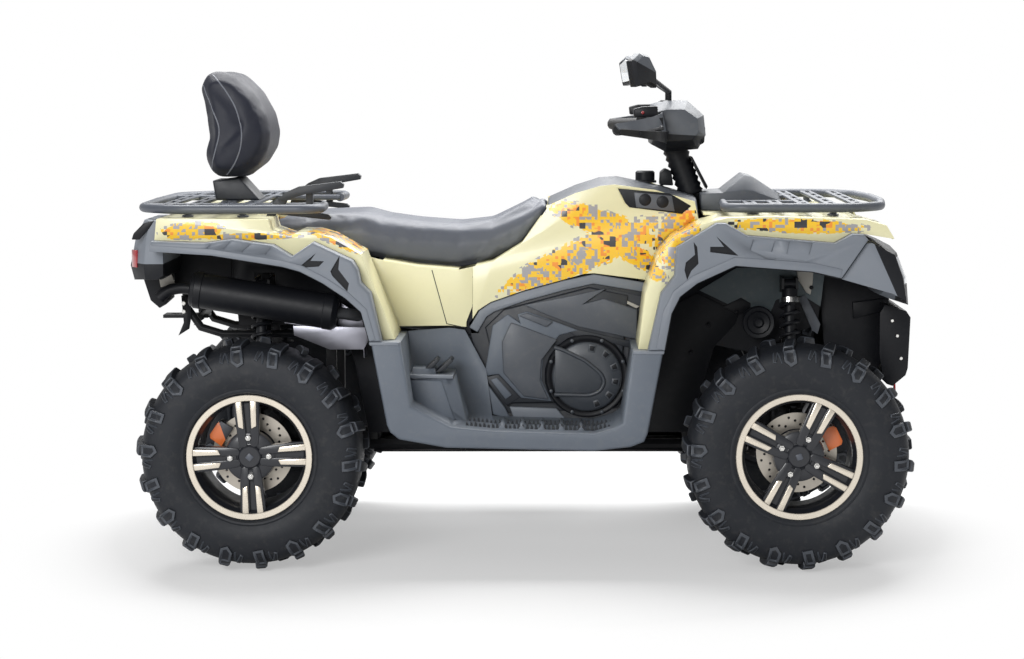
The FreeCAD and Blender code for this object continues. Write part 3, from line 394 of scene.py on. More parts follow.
def shifted(bm, vec):
    bmesh.ops.translate(bm, vec=vec, verts=bm.verts)
    return bm


# A pin along the Y axis, narrower at its far end where top is under 1
def pin(radius, length, sides, top=1.0):
    bm = bmesh.new()
    bmesh.ops.create_cone(bm, cap_ends=True, segments=sides, radius1=radius, radius2=radius * top,
                          depth=length)
    return turned(bm, math.pi / 2, axis="X")


def block(size, place):
    bm = bmesh.new()
    bmesh.ops.create_cube(bm, size=1.0)
    bmesh.ops.scale(bm, vec=size, verts=bm.verts)
    return shifted(bm, place)


# The same shape on the other side of the vehicle
def flipped(bm):
    bmesh.ops.scale(bm, vec=(1, -1, 1), verts=bm.verts)
    bmesh.ops.reverse_faces(bm, faces=bm.faces)
    return bm


def onBothSides(whole, part, finishIndex=None):
    twin = part.copy()
    addTo(whole, flipped(twin), finishIndex)
    addTo(whole, part, finishIndex)


def meshObject(bm, name):
    mesh = bpy.data.meshes.new(name)
    bm.to_mesh(mesh)
    bm.free()
    return linked(mesh, name)


# Applies a piece's modifiers
def applied(piece):
    graph = bpy.context.evaluated_depsgraph_get()
    fresh = bpy.data.meshes.new_from_object(piece.evaluated_get(graph))
    piece.modifiers.clear()
    old = piece.data
    piece.data = fresh
    bpy.data.meshes.remove(old)


# A shape with another one cut out of it
def carved(bm, cutter):
    body = meshObject(bm, "body")
    tool = meshObject(cutter, "tool")
    cut = body.modifiers.new("cut", "BOOLEAN")
    cut.operation = "DIFFERENCE"
    cut.solver = "EXACT"
    cut.object = tool
    applied(body)
    result = bmesh.new()
    result.from_mesh(body.data)
    for item in (body, tool):
        mesh = item.data
        bpy.data.objects.remove(item)
        bpy.data.meshes.remove(mesh)
    return result


def metres(points):
    return [(x / 1000.0, z / 1000.0) for x, z in points]


# Plates on both sides of the vehicle: outline in millimetres, outer and inner y, bevel, finish
def sidePlates(whole, items):
    for points, outer, inner, bevel, index in items:
        onBothSides(whole, plate(metres(points), -outer, -inner, bevel), index)


# Plates across the middle of the vehicle: outline in millimetres, half width, bevel, finish
def midPlates(whole, items):
    for points, half, bevel, index in items:
        addTo(whole, plate(metres(points), -half, half, bevel), index)


# Round parts on both sides: profile as (radius, y), places as (x, z)
def roundParts(whole, profile, steps, places, index):
    for x, z in places:
        onBothSides(whole, shifted(spun(profile, steps), (x, 0, z)), index)


# A bar-shaped outline along a line from one point to another
def groove(start, end, width):
    dx, dz = end[0] - start[0], end[1] - start[1]
    length = math.hypot(dx, dz)
    nx, nz = -dz / length * width / 2, dx / length * width / 2
    return [(start[0] + nx, start[1] + nz), (end[0] + nx, end[1] + nz), (end[0] - nx, end[1] - nz),
            (start[0] - nx, start[1] - nz)]


# A band of a given width along a line, on its right-hand side
def band(points, width):
    moved = []
    for i, (x, z) in enumerate(points):
        before = points[max(i - 1, 0)]
        after = points[min(i + 1, len(points) - 1)]
        dx, dz = after[0] - before[0], after[1] - before[1]
        length = math.hypot(dx, dz)
        moved.append((x + dz / length * width, z - dx / length * width))
    return list(points) + moved[::-1]


# Rounds the outline edges of the flat faces at a given distance from the middle
def softOutline(bm, y, width):
    chosen = [edge for edge in sharpEdges(bm, 30.0)
              if all(abs(abs(vert.co.y) - y) < 0.0003 for vert in edge.verts)]
    bevelEdges(bm, chosen, width, 3)


def roundedPath(points, radius, steps=5):
    points = [Vector(point) for point in points]
    path = [points[0]]
    for before, here, after in zip(points, points[1:], points[2:]):
        back = before - here
        ahead = after - here
        reach = min(radius, back.length * 0.45, ahead.length * 0.45)
        start = here + back.normalized() * reach
        end = here + ahead.normalized() * reach
        for step in range(steps + 1):
            t = step / steps
            path.append(start * (1 - t) ** 2 + here * 2 * t * (1 - t) + end * t ** 2)
    path.append(points[-1])
    return path


# A round tube along a path, with closed ends
def tube(points, radius, bend, sides=5):
    curve = bpy.data.curves.new("tube", "CURVE")
    curve.dimensions = "3D"
    curve.bevel_depth = radius
    curve.bevel_resolution = sides
    curve.use_fill_caps = True
    path = roundedPath(points, bend) if bend else [Vector(point) for point in points]
    line = curve.splines.new("POLY")
    line.points.add(len(path) - 1)
    for spot, place in zip(line.points, path):
        spot.co = (*place, 1.0)
    holder = linked(curve, "tube")
    mesh = bpy.data.meshes.new_from_object(holder)
    bm = bmesh.new()
    bm.from_mesh(mesh)
    bpy.data.objects.remove(holder)
    bpy.data.curves.remove(curve)
    bpy.data.meshes.remove(mesh)
    bmesh.ops.remove_doubles(bm, verts=bm.verts, dist=0.00001)
    bmesh.ops.recalc_face_normals(bm, faces=bm.faces)
    return bm


# Tyres: outline of the side as (radius, share of the half width), curve of the shoulder as (share, radius)
tyreLook = {"wall": [(0.1672, 0.74), (0.1680, 0.80), (0.1730, 0.84), (0.1790, 0.905), (0.1840, 0.915),
                     (0.1880, 0.90), (0.2000, 0.945), (0.2160, 0.972), (0.2320, 0.975), (0.2480, 0.955)],
            "shoulder": [(0.0, 0.3015), (0.55, 0.3025), (1.0, 0.2985), (0.945, 0.250)],
            "tread": 0.3178, "clear": 0.0003, "steps": 108, "lugs": 18, "wrap": 0.31, "span": 1.42,
            "sink": 0.003, "lugTop": (0.84, 0.90, 1.0), "lugBevel": 0.0026, "pocket": (0.0012, -0.0045),
            "cuts": 6}
# Lugs: outline in degrees round the tyre and share of the shoulder, height, wall round the pocket
lugBars = [([(-4.4, 0.04), (1.4, 0.10), (4.6, 0.62), (-1.6, 0.60)], 0.0185, 0.0),
           ([(-4.6, 0.06), (-1.0, 0.02), (4.4, 0.60), (-2.6, 0.64)], 0.0185, 0.0)]
lugBlocks = [([(-2.6, 0.60), (4.6, 0.62), (5.0, 0.90), (1.0, 1.02), (-3.4, 0.95)], 0.0125, 0.0045),
             ([(-1.6, 0.60), (4.8, 0.60), (3.4, 0.99), (-3.8, 0.97)], 0.0125, 0.0045)]
lugSpurs = [([(-13.6, 0.58), (-10.4, 0.56), (-8.6, 0.86), (-10.8, 0.90)], 0.0075, 0.0),
            ([(6.0, 0.60), (7.6, 0.60), (6.4, 0.94), (5.4, 0.92)], 0.0060, 0.0)]


# Place on the shoulder's curve: t from the middle of the tread to the side wall, raised by w
def onShoulder(t, w, half):
    stops = [(share * half, radius) for share, radius in tyreLook["shoulder"]]
    side = abs(t)
    weights = [(1 - side) ** 3, 3 * side * (1 - side) ** 2, 3 * side ** 2 * (1 - side), side ** 3]
    slopes = [-3 * (1 - side) ** 2, 3 * (1 - side) ** 2 - 6 * side * (1 - side),
              6 * side * (1 - side) - 3 * side ** 2, 3 * side ** 2]
    y, radius = (sum(k * stop[i] for k, stop in zip(weights, stops)) for i in (0, 1))
    dy, dr = (sum(k * stop[i] for k, stop in zip(slopes, stops)) for i in (0, 1))
    length = math.hypot(dy, dr)
    y = min(y - dr / length * w, half - tyreLook["clear"])
    radius = min(radius + dy / length * w, tyreLook["tread"])
    return radius, math.copysign(y, t)


# A lug is made as a flat block, cut across and wrapped round the shoulder
def lug(outline, height, recess, half):
    reach = half * tyreLook["span"]
    bm = bmesh.new()
    corners = [bm.verts.new((math.radians(u) * tyreLook["wrap"], t * reach, 0.0)) for u, t in outline]
    made = bmesh.ops.extrude_face_region(bm, geom=[bm.faces.new(corners)])
    top = [item for item in made["geom"] if isinstance(item, bmesh.types.BMVert)]
    lid = [item for item in made["geom"] if isinstance(item, bmesh.types.BMFace)][0]
    bmesh.ops.translate(bm, vec=(0, 0, height), verts=top)
    middle = lid.calc_center_median()
    bmesh.ops.scale(bm, vec=tyreLook["lugTop"], space=Matrix.Translation(-middle), verts=top)
    bmesh.ops.recalc_face_normals(bm, faces=bm.faces)
    if recess:
        for width, depth in ((recess, 0.0), tyreLook["pocket"]):
            bmesh.ops.inset_region(bm, faces=[lid], thickness=width, depth=depth, use_even_offset=True)
    # The lug's bevel faces take the second finish, a painted highlight along its edges
    for part in bevelEdges(bm, sharpEdges(bm, 30.0), tyreLook["lugBevel"], 1)["faces"]:
        part.material_index = 1
    low = min(t for u, t in outline)
    high = max(t for u, t in outline)
    for cut in range(1, tyreLook["cuts"]):
        bisect(bm, (0, (low + (high - low) * cut / tyreLook["cuts"]) * reach, 0), (0, 1, 0))
    for vert in bm.verts:
        angle = vert.co.x / tyreLook["wrap"]
        radius, y = onShoulder(vert.co.y / reach, vert.co.z - tyreLook["sink"], half)
        vert.co = Vector((radius * math.cos(angle), y, radius * math.sin(angle)))
    return bm


def tyre(name, body, node, centre, half, out):
    profile = [(radius, share * half) for radius, share in tyreLook["wall"]]
    profile += [onShoulder(1.0 - k / 8, 0.0, half) for k in range(1, 8)]
    profile += [(radius, -y) for radius, y in reversed(profile)]
    whole = spun(profile, tyreLook["steps"], True)
    pitch = 360.0 / tyreLook["lugs"]
    for k in range(tyreLook["lugs"]):
        for side, lead in ((1, 0.25), (-1, 0.75)):
            for outline, height, recess in [lugBars[k % 2], lugBlocks[k % 2]] + lugSpurs:
                piece = lug(outline, height, recess, half)
                if side == -1:
                    flipped(piece)
                addTo(whole, turned(piece, -math.radians(pitch * (k + lead))))
    if out == 1:
        flipped(whole)
    # Second finish: the painted highlight on the lug edges
    makePiece(shifted(whole, centre), name, body, ["rubber", "rubberPaintedHighlight"], [node], smooth=38.0)


# Rims: y of the outer face, radius of the bead's seat, radius of a nut and its circle, turn in degrees
rimLook = {"face": 0.574, "bead": 0.1667, "beadShare": 0.78, "spokes": 4, "nut": 0.0085,
           "nutCircle": 0.053, "turn": {"front": 27.0, "rear": -3.0}}
discLook = {"radius": 0.110, "inner": 0.066, "half": 0.002, "face": 0.482, "holes": 36, "hole": 0.0038,
            "circle": 0.088, "stagger": (0.0, 0.010, -0.010)}


# One spoke of a right-hand wheel, pointing along +X: dark body, slot and two bright strips
def spoke(whole):
    face = -rimLook["face"]
    body = [(0.020, 0.004), (0.157, 0.0085), (0.157, 0.036), (0.060, 0.030), (0.030, 0.026)]
    strip = [(0.078, 0.0105), (0.1555, 0.0115), (0.1555, 0.0290), (0.084, 0.0245)]
    for side in (1, -1):
        addTo(whole, plate([(x, side * z) for x, z in body], face + 0.011, face + 0.036, 0.0035), 0)
        addTo(whole, plate([(x, side * z) for x, z in strip], face + 0.0035, face + 0.014, 0.0022), 1)
    floor = [(0.040, -0.012), (0.157, -0.012), (0.157, 0.012), (0.040, 0.012)]
    addTo(whole, plate(floor, face + 0.022, face + 0.034), 0)


def nut(whole, x, z):
    face = -rimLook["face"]
    addTo(whole, shifted(pin(rimLook["nut"], 0.012, 6, 0.9), (x, face + 0.010, z)), 2)
    dome = [(0.0, face + 0.0015), (0.004, face + 0.0025), (0.0068, face + 0.006), (0.007, face + 0.01)]
    addTo(whole, shifted(spun(dome, 16), (x, 0, z)), 2)


# A brake disc with drilled holes
def brakeDisc():
    half = discLook["half"]
    disc = spun([(discLook["radius"], -half), (discLook["radius"], half), (discLook["inner"], half),
                 (discLook["inner"], -half)], 96, True)
    holes = bmesh.new()
    for k in range(discLook["holes"]):
        angle = 2 * math.pi * k / discLook["holes"]
        radius = discLook["circle"] + discLook["stagger"][k % 3]
        hole = pin(discLook["hole"], 0.01, 10)
        addTo(holes, shifted(hole, (radius * math.cos(angle), 0, radius * math.sin(angle))))
    return carved(disc, holes)


def rim(name, body, node, centre, half, out, turn):
    face = -rimLook["face"]
    radius = rimLook["bead"]
    inner = rimLook["beadShare"] * half - abs(centre[1])
    outer = -rimLook["beadShare"] * half - abs(centre[1])
    whole = bmesh.new()
    barrel = [(0.005, face + 0.0015), (0.0035, face), (-0.0105, face), (-0.012, face + 0.0015),
              (-0.0125, face + 0.010), (-0.020, face + 0.020), (-0.022, face + 0.05), (-0.022, inner - 0.02),
              (-0.012, inner), (-0.010, inner + 0.014), (0.005, inner + 0.014), (0.005, inner + 0.004),
              (0.0, inner), (0.0, outer), (0.005, outer - 0.004)]
    ring = spun([(radius + rise, y) for rise, y in barrel], 96, True)
    for part in ring.faces:
        spot = part.calc_center_median()
        bright = spot.y < face + 0.0018 and math.hypot(spot.x, spot.z) > radius - 0.0125
        part.material_index = 1 if bright else 0
    addTo(whole, ring)
    for k in range(rimLook["spokes"]):
        arm = bmesh.new()
        spoke(arm)
        nut(arm, rimLook["nutCircle"], 0.0)
        addTo(whole, turned(arm, 2 * math.pi * k / rimLook["spokes"]))
    hub = [(0.0, face + 0.008), (0.027, face + 0.008), (0.031, face + 0.011), (0.033, face + 0.016),
           (0.036, face + 0.017), (0.037, face + 0.014), (0.063, face + 0.0145), (0.068, face + 0.018),
           (0.071, face + 0.036), (0.042, face + 0.040), (0.042, -0.410), (0.034, -0.410), (0.034, -0.464),
           (0.0, -0.464)]
    addTo(whole, spun(hub, 48), 0)
    boss = [(-0.012, 0.0), (0.0, 0.012), (0.012, 0.0), (0.0, -0.012)]
    addTo(whole, plate(boss, face + 0.0055, face + 0.012, 0.002), 4)
    addTo(whole, shifted(brakeDisc(), (0, -discLook["face"], 0)), 3)
    carrier = [(0.040, -0.4815), (0.076, -0.4830), (0.076, -0.4775), (0.040, -0.4775)]
    addTo(whole, spun(carrier, 48, True), 0)
    turned(whole, math.radians(turn))
    if out == 1:
        flipped(whole)
    shifted(whole, (centre[0], 0, centre[2]))
    makePiece(whole, name, body, ["rimBlack", "machined", "chrome", "discSteel", "rack"], [node])


# Where the axles lie along the vehicle
axles = {"front": 0.745, "rear": -0.745}


def wheels():
    for end, x in axles.items():
        for side, out in (("right", -1), ("left", 1)):
            tag = end + "_" + side
            low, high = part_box("tyre_" + tag)
            half = (high.y - low.y) / 2
            centre = Vector((x, (low.y + high.y) / 2, (high.z + low.z) / 2))
            body = end + "_wheel_" + side
            tyre("tyre." + tag, body, "tyre_" + tag, centre, half, out)
            rim("rim." + tag, body, "rim_" + tag, centre, half, out, rimLook["turn"][end])


wheels()
print("wheels made")

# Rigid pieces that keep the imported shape, with rounded edges: node, finish, slot, edge radius
roundedNodes = [
    ("side_panels", "sand", "sand_plastic", 0.0020),
    ("tank_sides", "sandSticker", "sand_plastic", 0.0020),
    ("front_fender", "sandSticker", "sand_plastic", 0.0022),
    ("rear_fender", "sandSticker", "sand_plastic", 0.0022),
    ("console_cowl", "panel", "black_plastic", 0.0060), ("tank_cover", "panel", "black_plastic", 0.0060),
    ("front_bumper", "black", "black_steel", 0.0030), ("backrest_post", "pit", "black_plastic", 0.0050),
    ("headlights", "lens", "lamp_clear", 0.0040), ("tail_lamps", "red", "lamp_red", 0.0040),
    ("heat_shield", "shield", "shield_steel", 0.0010), ("grab_handles", "pit", "black_steel", 0.0015),
    ("winch", "black", "black_steel", 0.0020), ("engine_block", "cast", "cast_alloy", 0.0040),
    ("main_rails", "paint", "black_steel", 0.0), ("frame_members", "paint", "black_steel", 0.0015),
    ("axle_cages", "paint", "black_steel", 0.0), ("towing_frame", "paint", "black_steel", 0.0015),
    ("footwell_brackets", "paint", "black_steel", 0.0), ("wishbones", "paint", "black_steel", 0.0020),
    ("axle_drives", "cast", "cast_alloy", 0.0), ("rear_uprights", "forged", "forged_steel", 0.0015)]
# Those that steer: node, body, finish, slot, edge radius
steeredNodes = [
    ("handlebar", "handlebar", "paint", "black_steel", 0.0),
    ("grips", "handlebar", "grip", "grip_rubber", 0.0),
    ("levers", "handlebar", "black", "black_plastic", 0.0)]
for kind, carrier, look, slot, width in (("knuckle_", "knuckle_", "forged", "forged_steel", 0.0015),
                                         ("caliper_", "knuckle_", "caliper", "caliper_paint", 0.0015),
                                         ("tie_rod_", "tie_rod_", "forged", "forged_steel", 0.0)):
    steeredNodes += [(kind + side, carrier + side, look, slot, width) for side in ("right", "left")]


def roundedPieces():
    todo = [(node, "chassis", look, slot, width) for node, look, slot, width in roundedNodes] + steeredNodes
    for node, body, look, slot, width in todo:
        bm = mergedCopy(node)
        if width:
            bevelSharp(bm, width)
        makePiece(bm, node + ".finished", body, [look], [node], smooth=40.0)


# Pieces in two finishes: node, edge radius, finishes, slot, then a point of the plane between them and
# the direction in which the second finish lies
caliperLow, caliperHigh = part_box("rear_calipers")
twoToneNodes = [
    ("rear_calipers", 0.0015, ["forged", "caliper"], "caliper_paint",
     (caliperLow + caliperHigh) / 2 + Vector((-0.004, 0, 0)), (-1.0, 0, -0.35)),
    ("nose_cowl", 0.005, ["flare", "black"], "grey_plastic", (0.985, 0, 0.800), (1.0, 0, 0.45)),
    ("tail_unit", 0.005, ["flare", "black"], "grey_plastic", (0, 0, 0.838), (0, 0, -1.0))]


def twoTonePieces():
    for node, edge, finishes, slot, point, normal in twoToneNodes:
        bm = twoTone(node, edge, point, normal)
        makePiece(bm, node + ".finished", "chassis", finishes, [node], smooth=40.0)


roundedPieces()
twoTonePieces()
print("rigid pieces finished")

# Front and rear flares: carved slots and lines, a raised lip along each arch; outlines in millimetres
flareLook = {"outer": 0.562, "edge": 0.009, "slotGrowth": 1.22, "line": 3.0, "lineDepth": 0.0022,
             "lipRise": 0.0022}
frontFlare = {
    "lip": 24.0,
    "slots": [[(457, 891), (465, 880), (468, 843), (452, 827), (443, 807), (437, 829), (440, 846),
               (460, 863)],
              [(520, 910), (569, 867), (507, 875), (507, 887), (537, 887)]],
    "lines": [((618, 906), (610, 878)), ((676, 903), (667, 874)), ((715, 901), (708, 868)),
              ((776, 897), (767, 866))],
    "recesses": [[(678, 856), (752, 851), (762, 846), (764, 836), (756, 829), (682, 834), (673, 840),
                  (671, 850)]],
    "arch": [(381, 608), (399, 707), (422, 753), (468, 789), (571, 836), (775, 820), (852, 803)]}
rearFlare = {
    "lip": 18.0,
    "slots": [[(-605, 831), (-560, 868), (-572, 851), (-542, 850), (-554, 838), (-583, 836)],
              [(-515, 822), (-494, 857), (-497, 826), (-474, 795), (-478, 777), (-511, 812)]],
    "lines": [((-786, 906), (-806, 884)), ((-730, 899), (-758, 877)), ((-676, 890), (-694, 869)),
              ((-836, 902), (-852, 885))],
    "recesses": [],
    "arch": [(-1008, 878), (-839, 867), (-649, 836), (-602, 823), (-540, 791), (-479, 750), (-438, 713),
             (-416, 633)]}


def grown(points, factor):
    midX = sum(x for x, z in points) / len(points)
    midZ = sum(z for x, z in points) / len(points)
    return [(midX + (x - midX) * factor, midZ + (z - midZ) * factor) for x, z in points]


def flares(name, node, look):
    outer = flareLook["outer"]
    above = outer + 0.004
    depth = outer - flareLook["lineDepth"]
    base = mergedCopy(node)
    softOutline(base, outer, flareLook["edge"])
    slots = [grown(slot, flareLook["slotGrowth"]) for slot in look["slots"]]
    lines = [groove(start, end, flareLook["line"]) for start, end in look["lines"]]
    cutter = bmesh.new()
    sidePlates(cutter, [(slot, above, outer - 0.020, 0.0, None) for slot in slots])
    sidePlates(cutter, [(line, above, depth, 0.0, None) for line in lines + look["recesses"]])
    whole = bmesh.new()
    addTo(whole, carved(base, cutter), 0)
    sidePlates(whole, [(slot, outer - 0.0052, outer - 0.0065, 0.0, 1) for slot in slots])
    lip = band(look["arch"][::-1], look["lip"])
    sidePlates(whole, [(lip, outer + flareLook["lipRise"], outer - 0.003, 0.003, 0)])
    makePiece(whole, name, "chassis", ["flare", "black"], [node], smooth=40.0)


flares("flares.front", "front_flares", frontFlare)
flares("flares.rear", "rear_flares", rearFlare)
print("flares made")

# Footwells: rounded rim, toothed floor, blades beside the heel guard; floor and teeth in millimetres
wellLook = {"outer": 0.562, "edge": 0.008, "floor": 391.0, "slopeFrom": -80, "slope": 0.10, "teeth": 34,
            "toothFrom": -160.0, "toothSpan": 400.0, "toothHigh": 10.0}


def footwells():
    base = mergedCopy("footrests")
    softOutline(base, wellLook["outer"], wellLook["edge"])
    whole = bmesh.new()
    addTo(whole, base, 0)
    for k in range(wellLook["teeth"]):
        x = wellLook["toothFrom"] + wellLook["toothSpan"] * k / wellLook["teeth"]
        floor = wellLook["floor"] - min(x - wellLook["slopeFrom"], 0.0) * wellLook["slope"]
        high = wellLook["toothHigh"] * (0.55 + 0.45 * ((k * 7) % 5) / 4)
        near = [(x, floor - 8), (x + 2, floor + high), (x + 7, floor + high - 3), (x + 10, floor - 8)]
        far = [(x + 4, floor - 8), (x + 7, floor + high * 0.8), (x + 11, floor + high * 0.5),
               (x + 13, floor - 8)]
        sidePlates(whole, [(near, 0.505, 0.492, 0.0, 1), (far, 0.415, 0.404, 0.0, 1)])
    for x in (-288, -249):
        blade = [(x, 528), (x + 44, 568), (x + 52, 560), (x + 20, 530)]
        sidePlates(whole, [(blade, 0.398, 0.318, 0.002, 1)])
    sidePlates(whole, [
        ([(-316, 512), (-228, 509), (-190, 392), (-302, 436)], 0.424, 0.415, 0.0030, 0),  # heel guard
        ([(-322, 526), (-196, 524), (-196, 514), (-322, 516)], 0.426, 0.262, 0.0025, 2),  # its shelf
        ([(-418, 631.5), (-336, 631.5), (-336, 622), (-415, 622)], 0.565, 0.500, 0.0025, 2),  # rear rim
        ([(296, 606.5), (381, 606.5), (379, 597), (296, 597)], 0.565, 0.500, 0.0025, 2)])  # front rim
    makePiece(whole, "footwells", "chassis", ["well", "pit", "flare"], ["footrests"],
              smooth=40.0)


footwells()
print("footwells made")

# Engine panels: layered plates round the opening, a slot at the top, a slanted recess low down
panelLook = {"low": 0.251, "face": 0.262, "step": 0.266, "top": 0.272, "edge": 0.003}


def enginePanels():
    low, face, step, top = panelLook["low"], panelLook["face"], panelLook["step"], panelLook["top"]
    base = mergedCopy("engine_side_panels")
    bevelSharp(base, panelLook["edge"])
    whole = bmesh.new()
    addTo(whole, base, 1)
    trim = band([(-158, 640), (-129, 688), (-96, 710), (-6, 741), (108, 772), (194, 790), (338, 766)], 27)
    sidePlates(whole, [
        (trim, face - 0.002, low, 0.0030, 3),
        # Upper plate, the dark edge below it, the slot at the top and a pale strip in the slot, which is a
        # painted highlight
        ([(-3, 704), (120, 728), (228, 750), (170, 709), (222, 722), (316, 690), (314, 606), (150, 642),
          (60, 676)], step + 0.002, low, 0.0032, 0),
        ([(60, 668), (150, 634), (313, 598), (311, 580), (140, 616)], step - 0.002, low, 0.002, 1),
        ([(233, 749), (338, 724), (322, 698), (224, 724), (173, 709)], face - 0.005, low, 0.0, 1),
        ([(240, 730), (250, 732), (322, 699), (313, 693)], face - 0.001, face - 0.006, 0.0012, 4),
        # Large plate behind the opening, in two layers, with a small one above
        ([(-92, 646), (-49, 678), (-16, 656), (-22, 678), (6, 686), (150, 632), (96, 618), (50, 556),
          (46, 490), (74, 430), (-12, 440), (-75, 508), (-107, 503), (-113, 521)], step, low, 0.0030, 2),
        ([(-66, 600), (-40, 655), (-8, 644), (90, 606), (46, 548), (42, 490), (66, 436), (-6, 446),
          (-62, 512)], top, step - 0.001, 0.0030, 0),
        ([(-18, 674), (6, 682), (78, 657), (60, 642)], top + 0.002, step - 0.001, 0.0025, 0),
        # Slanted recess and its insert, bar along the foot, corner low down at the back
        ([(-117, 498), (-76, 508), (-15, 441), (-53, 417)], face + 0.001, low, 0.002, 1),
        ([(-99, 492), (-80, 498), (-38, 449), (-56, 436)], face + 0.004, face - 0.001, 0.002, 2),
        ([(-45, 415), (88, 410), (113, 381), (-33, 382)], step, low, 0.003, 3),
        ([(-106, 478), (-58, 412), (-42, 380), (-92, 393)], step - 0.001, low, 0.003, 2)])
    makePiece(whole, "engine.panels", "chassis", ["panel", "pit", "well", "flare", "pale"],
              ["engine_side_panels"], smooth=40.0)


enginePanels()

# Crankcase cover: stepped round cover with a raised loop that opens to the rear, and short ribs round it
coverLook = {"x": 0.174, "z": 0.502, "ring": 0.118, "disc": 0.099, "face": 0.284, "back": 0.1503,
             "loop": 0.0056, "ribs": 6, "bolts": 8, "boltCircle": 0.1095}
# Ribs in two layers: outline, rise over the face, bevel, finish
coverRibs = [([(0.070, -0.0085), (0.0925, -0.0110), (0.0925, 0.0110), (0.070, 0.0085)], 0.0012, 0.0015, 1),
             ([(0.075, -0.0055), (0.0885, -0.0075), (0.0885, 0.0075), (0.075, 0.0055)], 0.0004, 0.001, 0)]


def engineCovers():
    x, z, face, back = coverLook["x"], coverLook["z"], -coverLook["face"], -coverLook["back"]
    ring, disc = coverLook["ring"], coverLook["disc"]
    whole = bmesh.new()
    body = spun([(0.0, back), (ring - 0.001, back), (ring - 0.001, -0.266), (ring - 0.005, -0.2700),
                 (disc + 0.006, -0.2700), (disc + 0.003, -0.2660), (disc, -0.2660), (disc - 0.001, -0.2760),
                 (disc - 0.006, -0.2800), (disc - 0.026, -0.2812), (disc - 0.031, face + 0.0005),
                 (0.050, face + 0.0020), (0.0, face + 0.0026)], 96)
    for part in body.faces:
        spot = part.calc_center_median()
        part.material_index = 1 if math.hypot(spot.x, spot.z) < disc - 0.002 and spot.y < -0.270 else 0
    addTo(whole, shifted(body, (x, 0, z)))
    loop = [(0.082, 0.586), (0.108, 0.578), (0.168, 0.549), (0.213, 0.512), (0.224, 0.488), (0.212, 0.462),
            (0.182, 0.449), (0.082, 0.452)]
    addTo(whole, tube([(px, face + 0.0012, pz) for px, pz in loop], coverLook["loop"], 0.02), 1)
    floor = [(84, 580), (108, 573), (166, 544), (208, 510), (217, 488), (206, 467), (180, 455), (84, 458)]
    addTo(whole, plate(metres(floor), face - 0.0006, face + 0.004, 0.0015), 1)
    for k in range(coverLook["ribs"]):
        angle = math.radians(-70 + 150 * k / (coverLook["ribs"] - 1))
        for outline, rise, bevel, index in coverRibs:
            rib = plate(outline, face + rise, -0.2750, bevel)
            addTo(whole, shifted(turned(rib, -angle), (x, 0, z)), index)
    for k in range(coverLook["bolts"]):
        angle = 2 * math.pi * (k + 0.5) / coverLook["bolts"]
        bolt = spun([(0.0, -0.2745), (0.0045, -0.2745), (0.0055, -0.2735), (0.0055, -0.2690)], 12)
        reach = coverLook["boltCircle"]
        addTo(whole, shifted(bolt, (x + reach * math.cos(angle), 0, z + reach * math.sin(angle))), 1)
    left = mergedCopy("engine_covers")
    right = [part for part in left.faces if part.calc_center_median().y < 0]
    bmesh.ops.delete(left, geom=right, context="FACES")
    bmesh.ops.delete(left, geom=[vert for vert in left.verts if not vert.link_faces], context="VERTS")
    bevelSharp(left, 0.003, 24.0)
    addTo(whole, left, 0)
    makePiece(whole, "engine.covers", "chassis", ["black", "cover"], ["engine_covers"])


engineCovers()
print("engine panels and covers made")

# Round pieces along their own middle lines: start, end and (distance, radius) steps
def turnedBody(start, end, steps, sides):
    start, end = Vector(start), Vector(end)
    bm = spun([(radius, along) for along, radius in steps], sides)
    turn = Vector((0, 1, 0)).rotation_difference(end - start).to_matrix()
    bmesh.ops.rotate(bm, cent=(0, 0, 0), matrix=turn, verts=bm.verts)
    return shifted(bm, start)


mufflerLook = {"start": (-0.933, -0.330, 0.757), "end": (-0.522, -0.330, 0.689), "tailPipe": 0.0165,
               "headPipe": 0.0168}


def muffler():
    start, end = mufflerLook["start"], mufflerLook["end"]
    length = (Vector(end) - Vector(start)).length
    steps = [(0.0, 0.0), (0.0, 0.040), (0.004, 0.047), (0.012, 0.049), (0.014, 0.052), (0.032, 0.052),
             (0.034, 0.0495), (length - 0.040, 0.0495), (length - 0.038, 0.0510), (length - 0.014, 0.0510),
             (length - 0.008, 0.046), (length, 0.038), (length, 0.0)]
    tail = [(-0.915, -0.330, 0.754), (-0.958, -0.330, 0.761), (-0.996, -0.330, 0.754),
            (-1.022, -0.330, 0.732)]
    header = [(-0.530, -0.330, 0.690), (-0.480, -0.310, 0.682), (-0.420, -0.222, 0.655),
              (-0.200, -0.205, 0.640), (0.118, -0.190, 0.640), (0.118, -0.0903, 0.640)]
    whole = bmesh.new()
    addTo(whole, turnedBody(start, end, steps, 56), 0)
    addTo(whole, tube(tail, mufflerLook["tailPipe"], 0.03), 0)
    addTo(whole, tube(header, mufflerLook["headPipe"], 0.05), 1)
    makePiece(whole, "muffler.finished", "chassis", ["black", "cast"], ["muffler"])


muffler()

# Shock absorbers: body, wound spring, bright adjusting collars and eyes; top and foot as (y, z)
shockLook = {"coils": 6.5, "stepsPerCoil": 14, "wire": 0.0050, "spring": 0.0255, "top": (0.236, 0.760),
             "foot": (0.296, 0.458)}


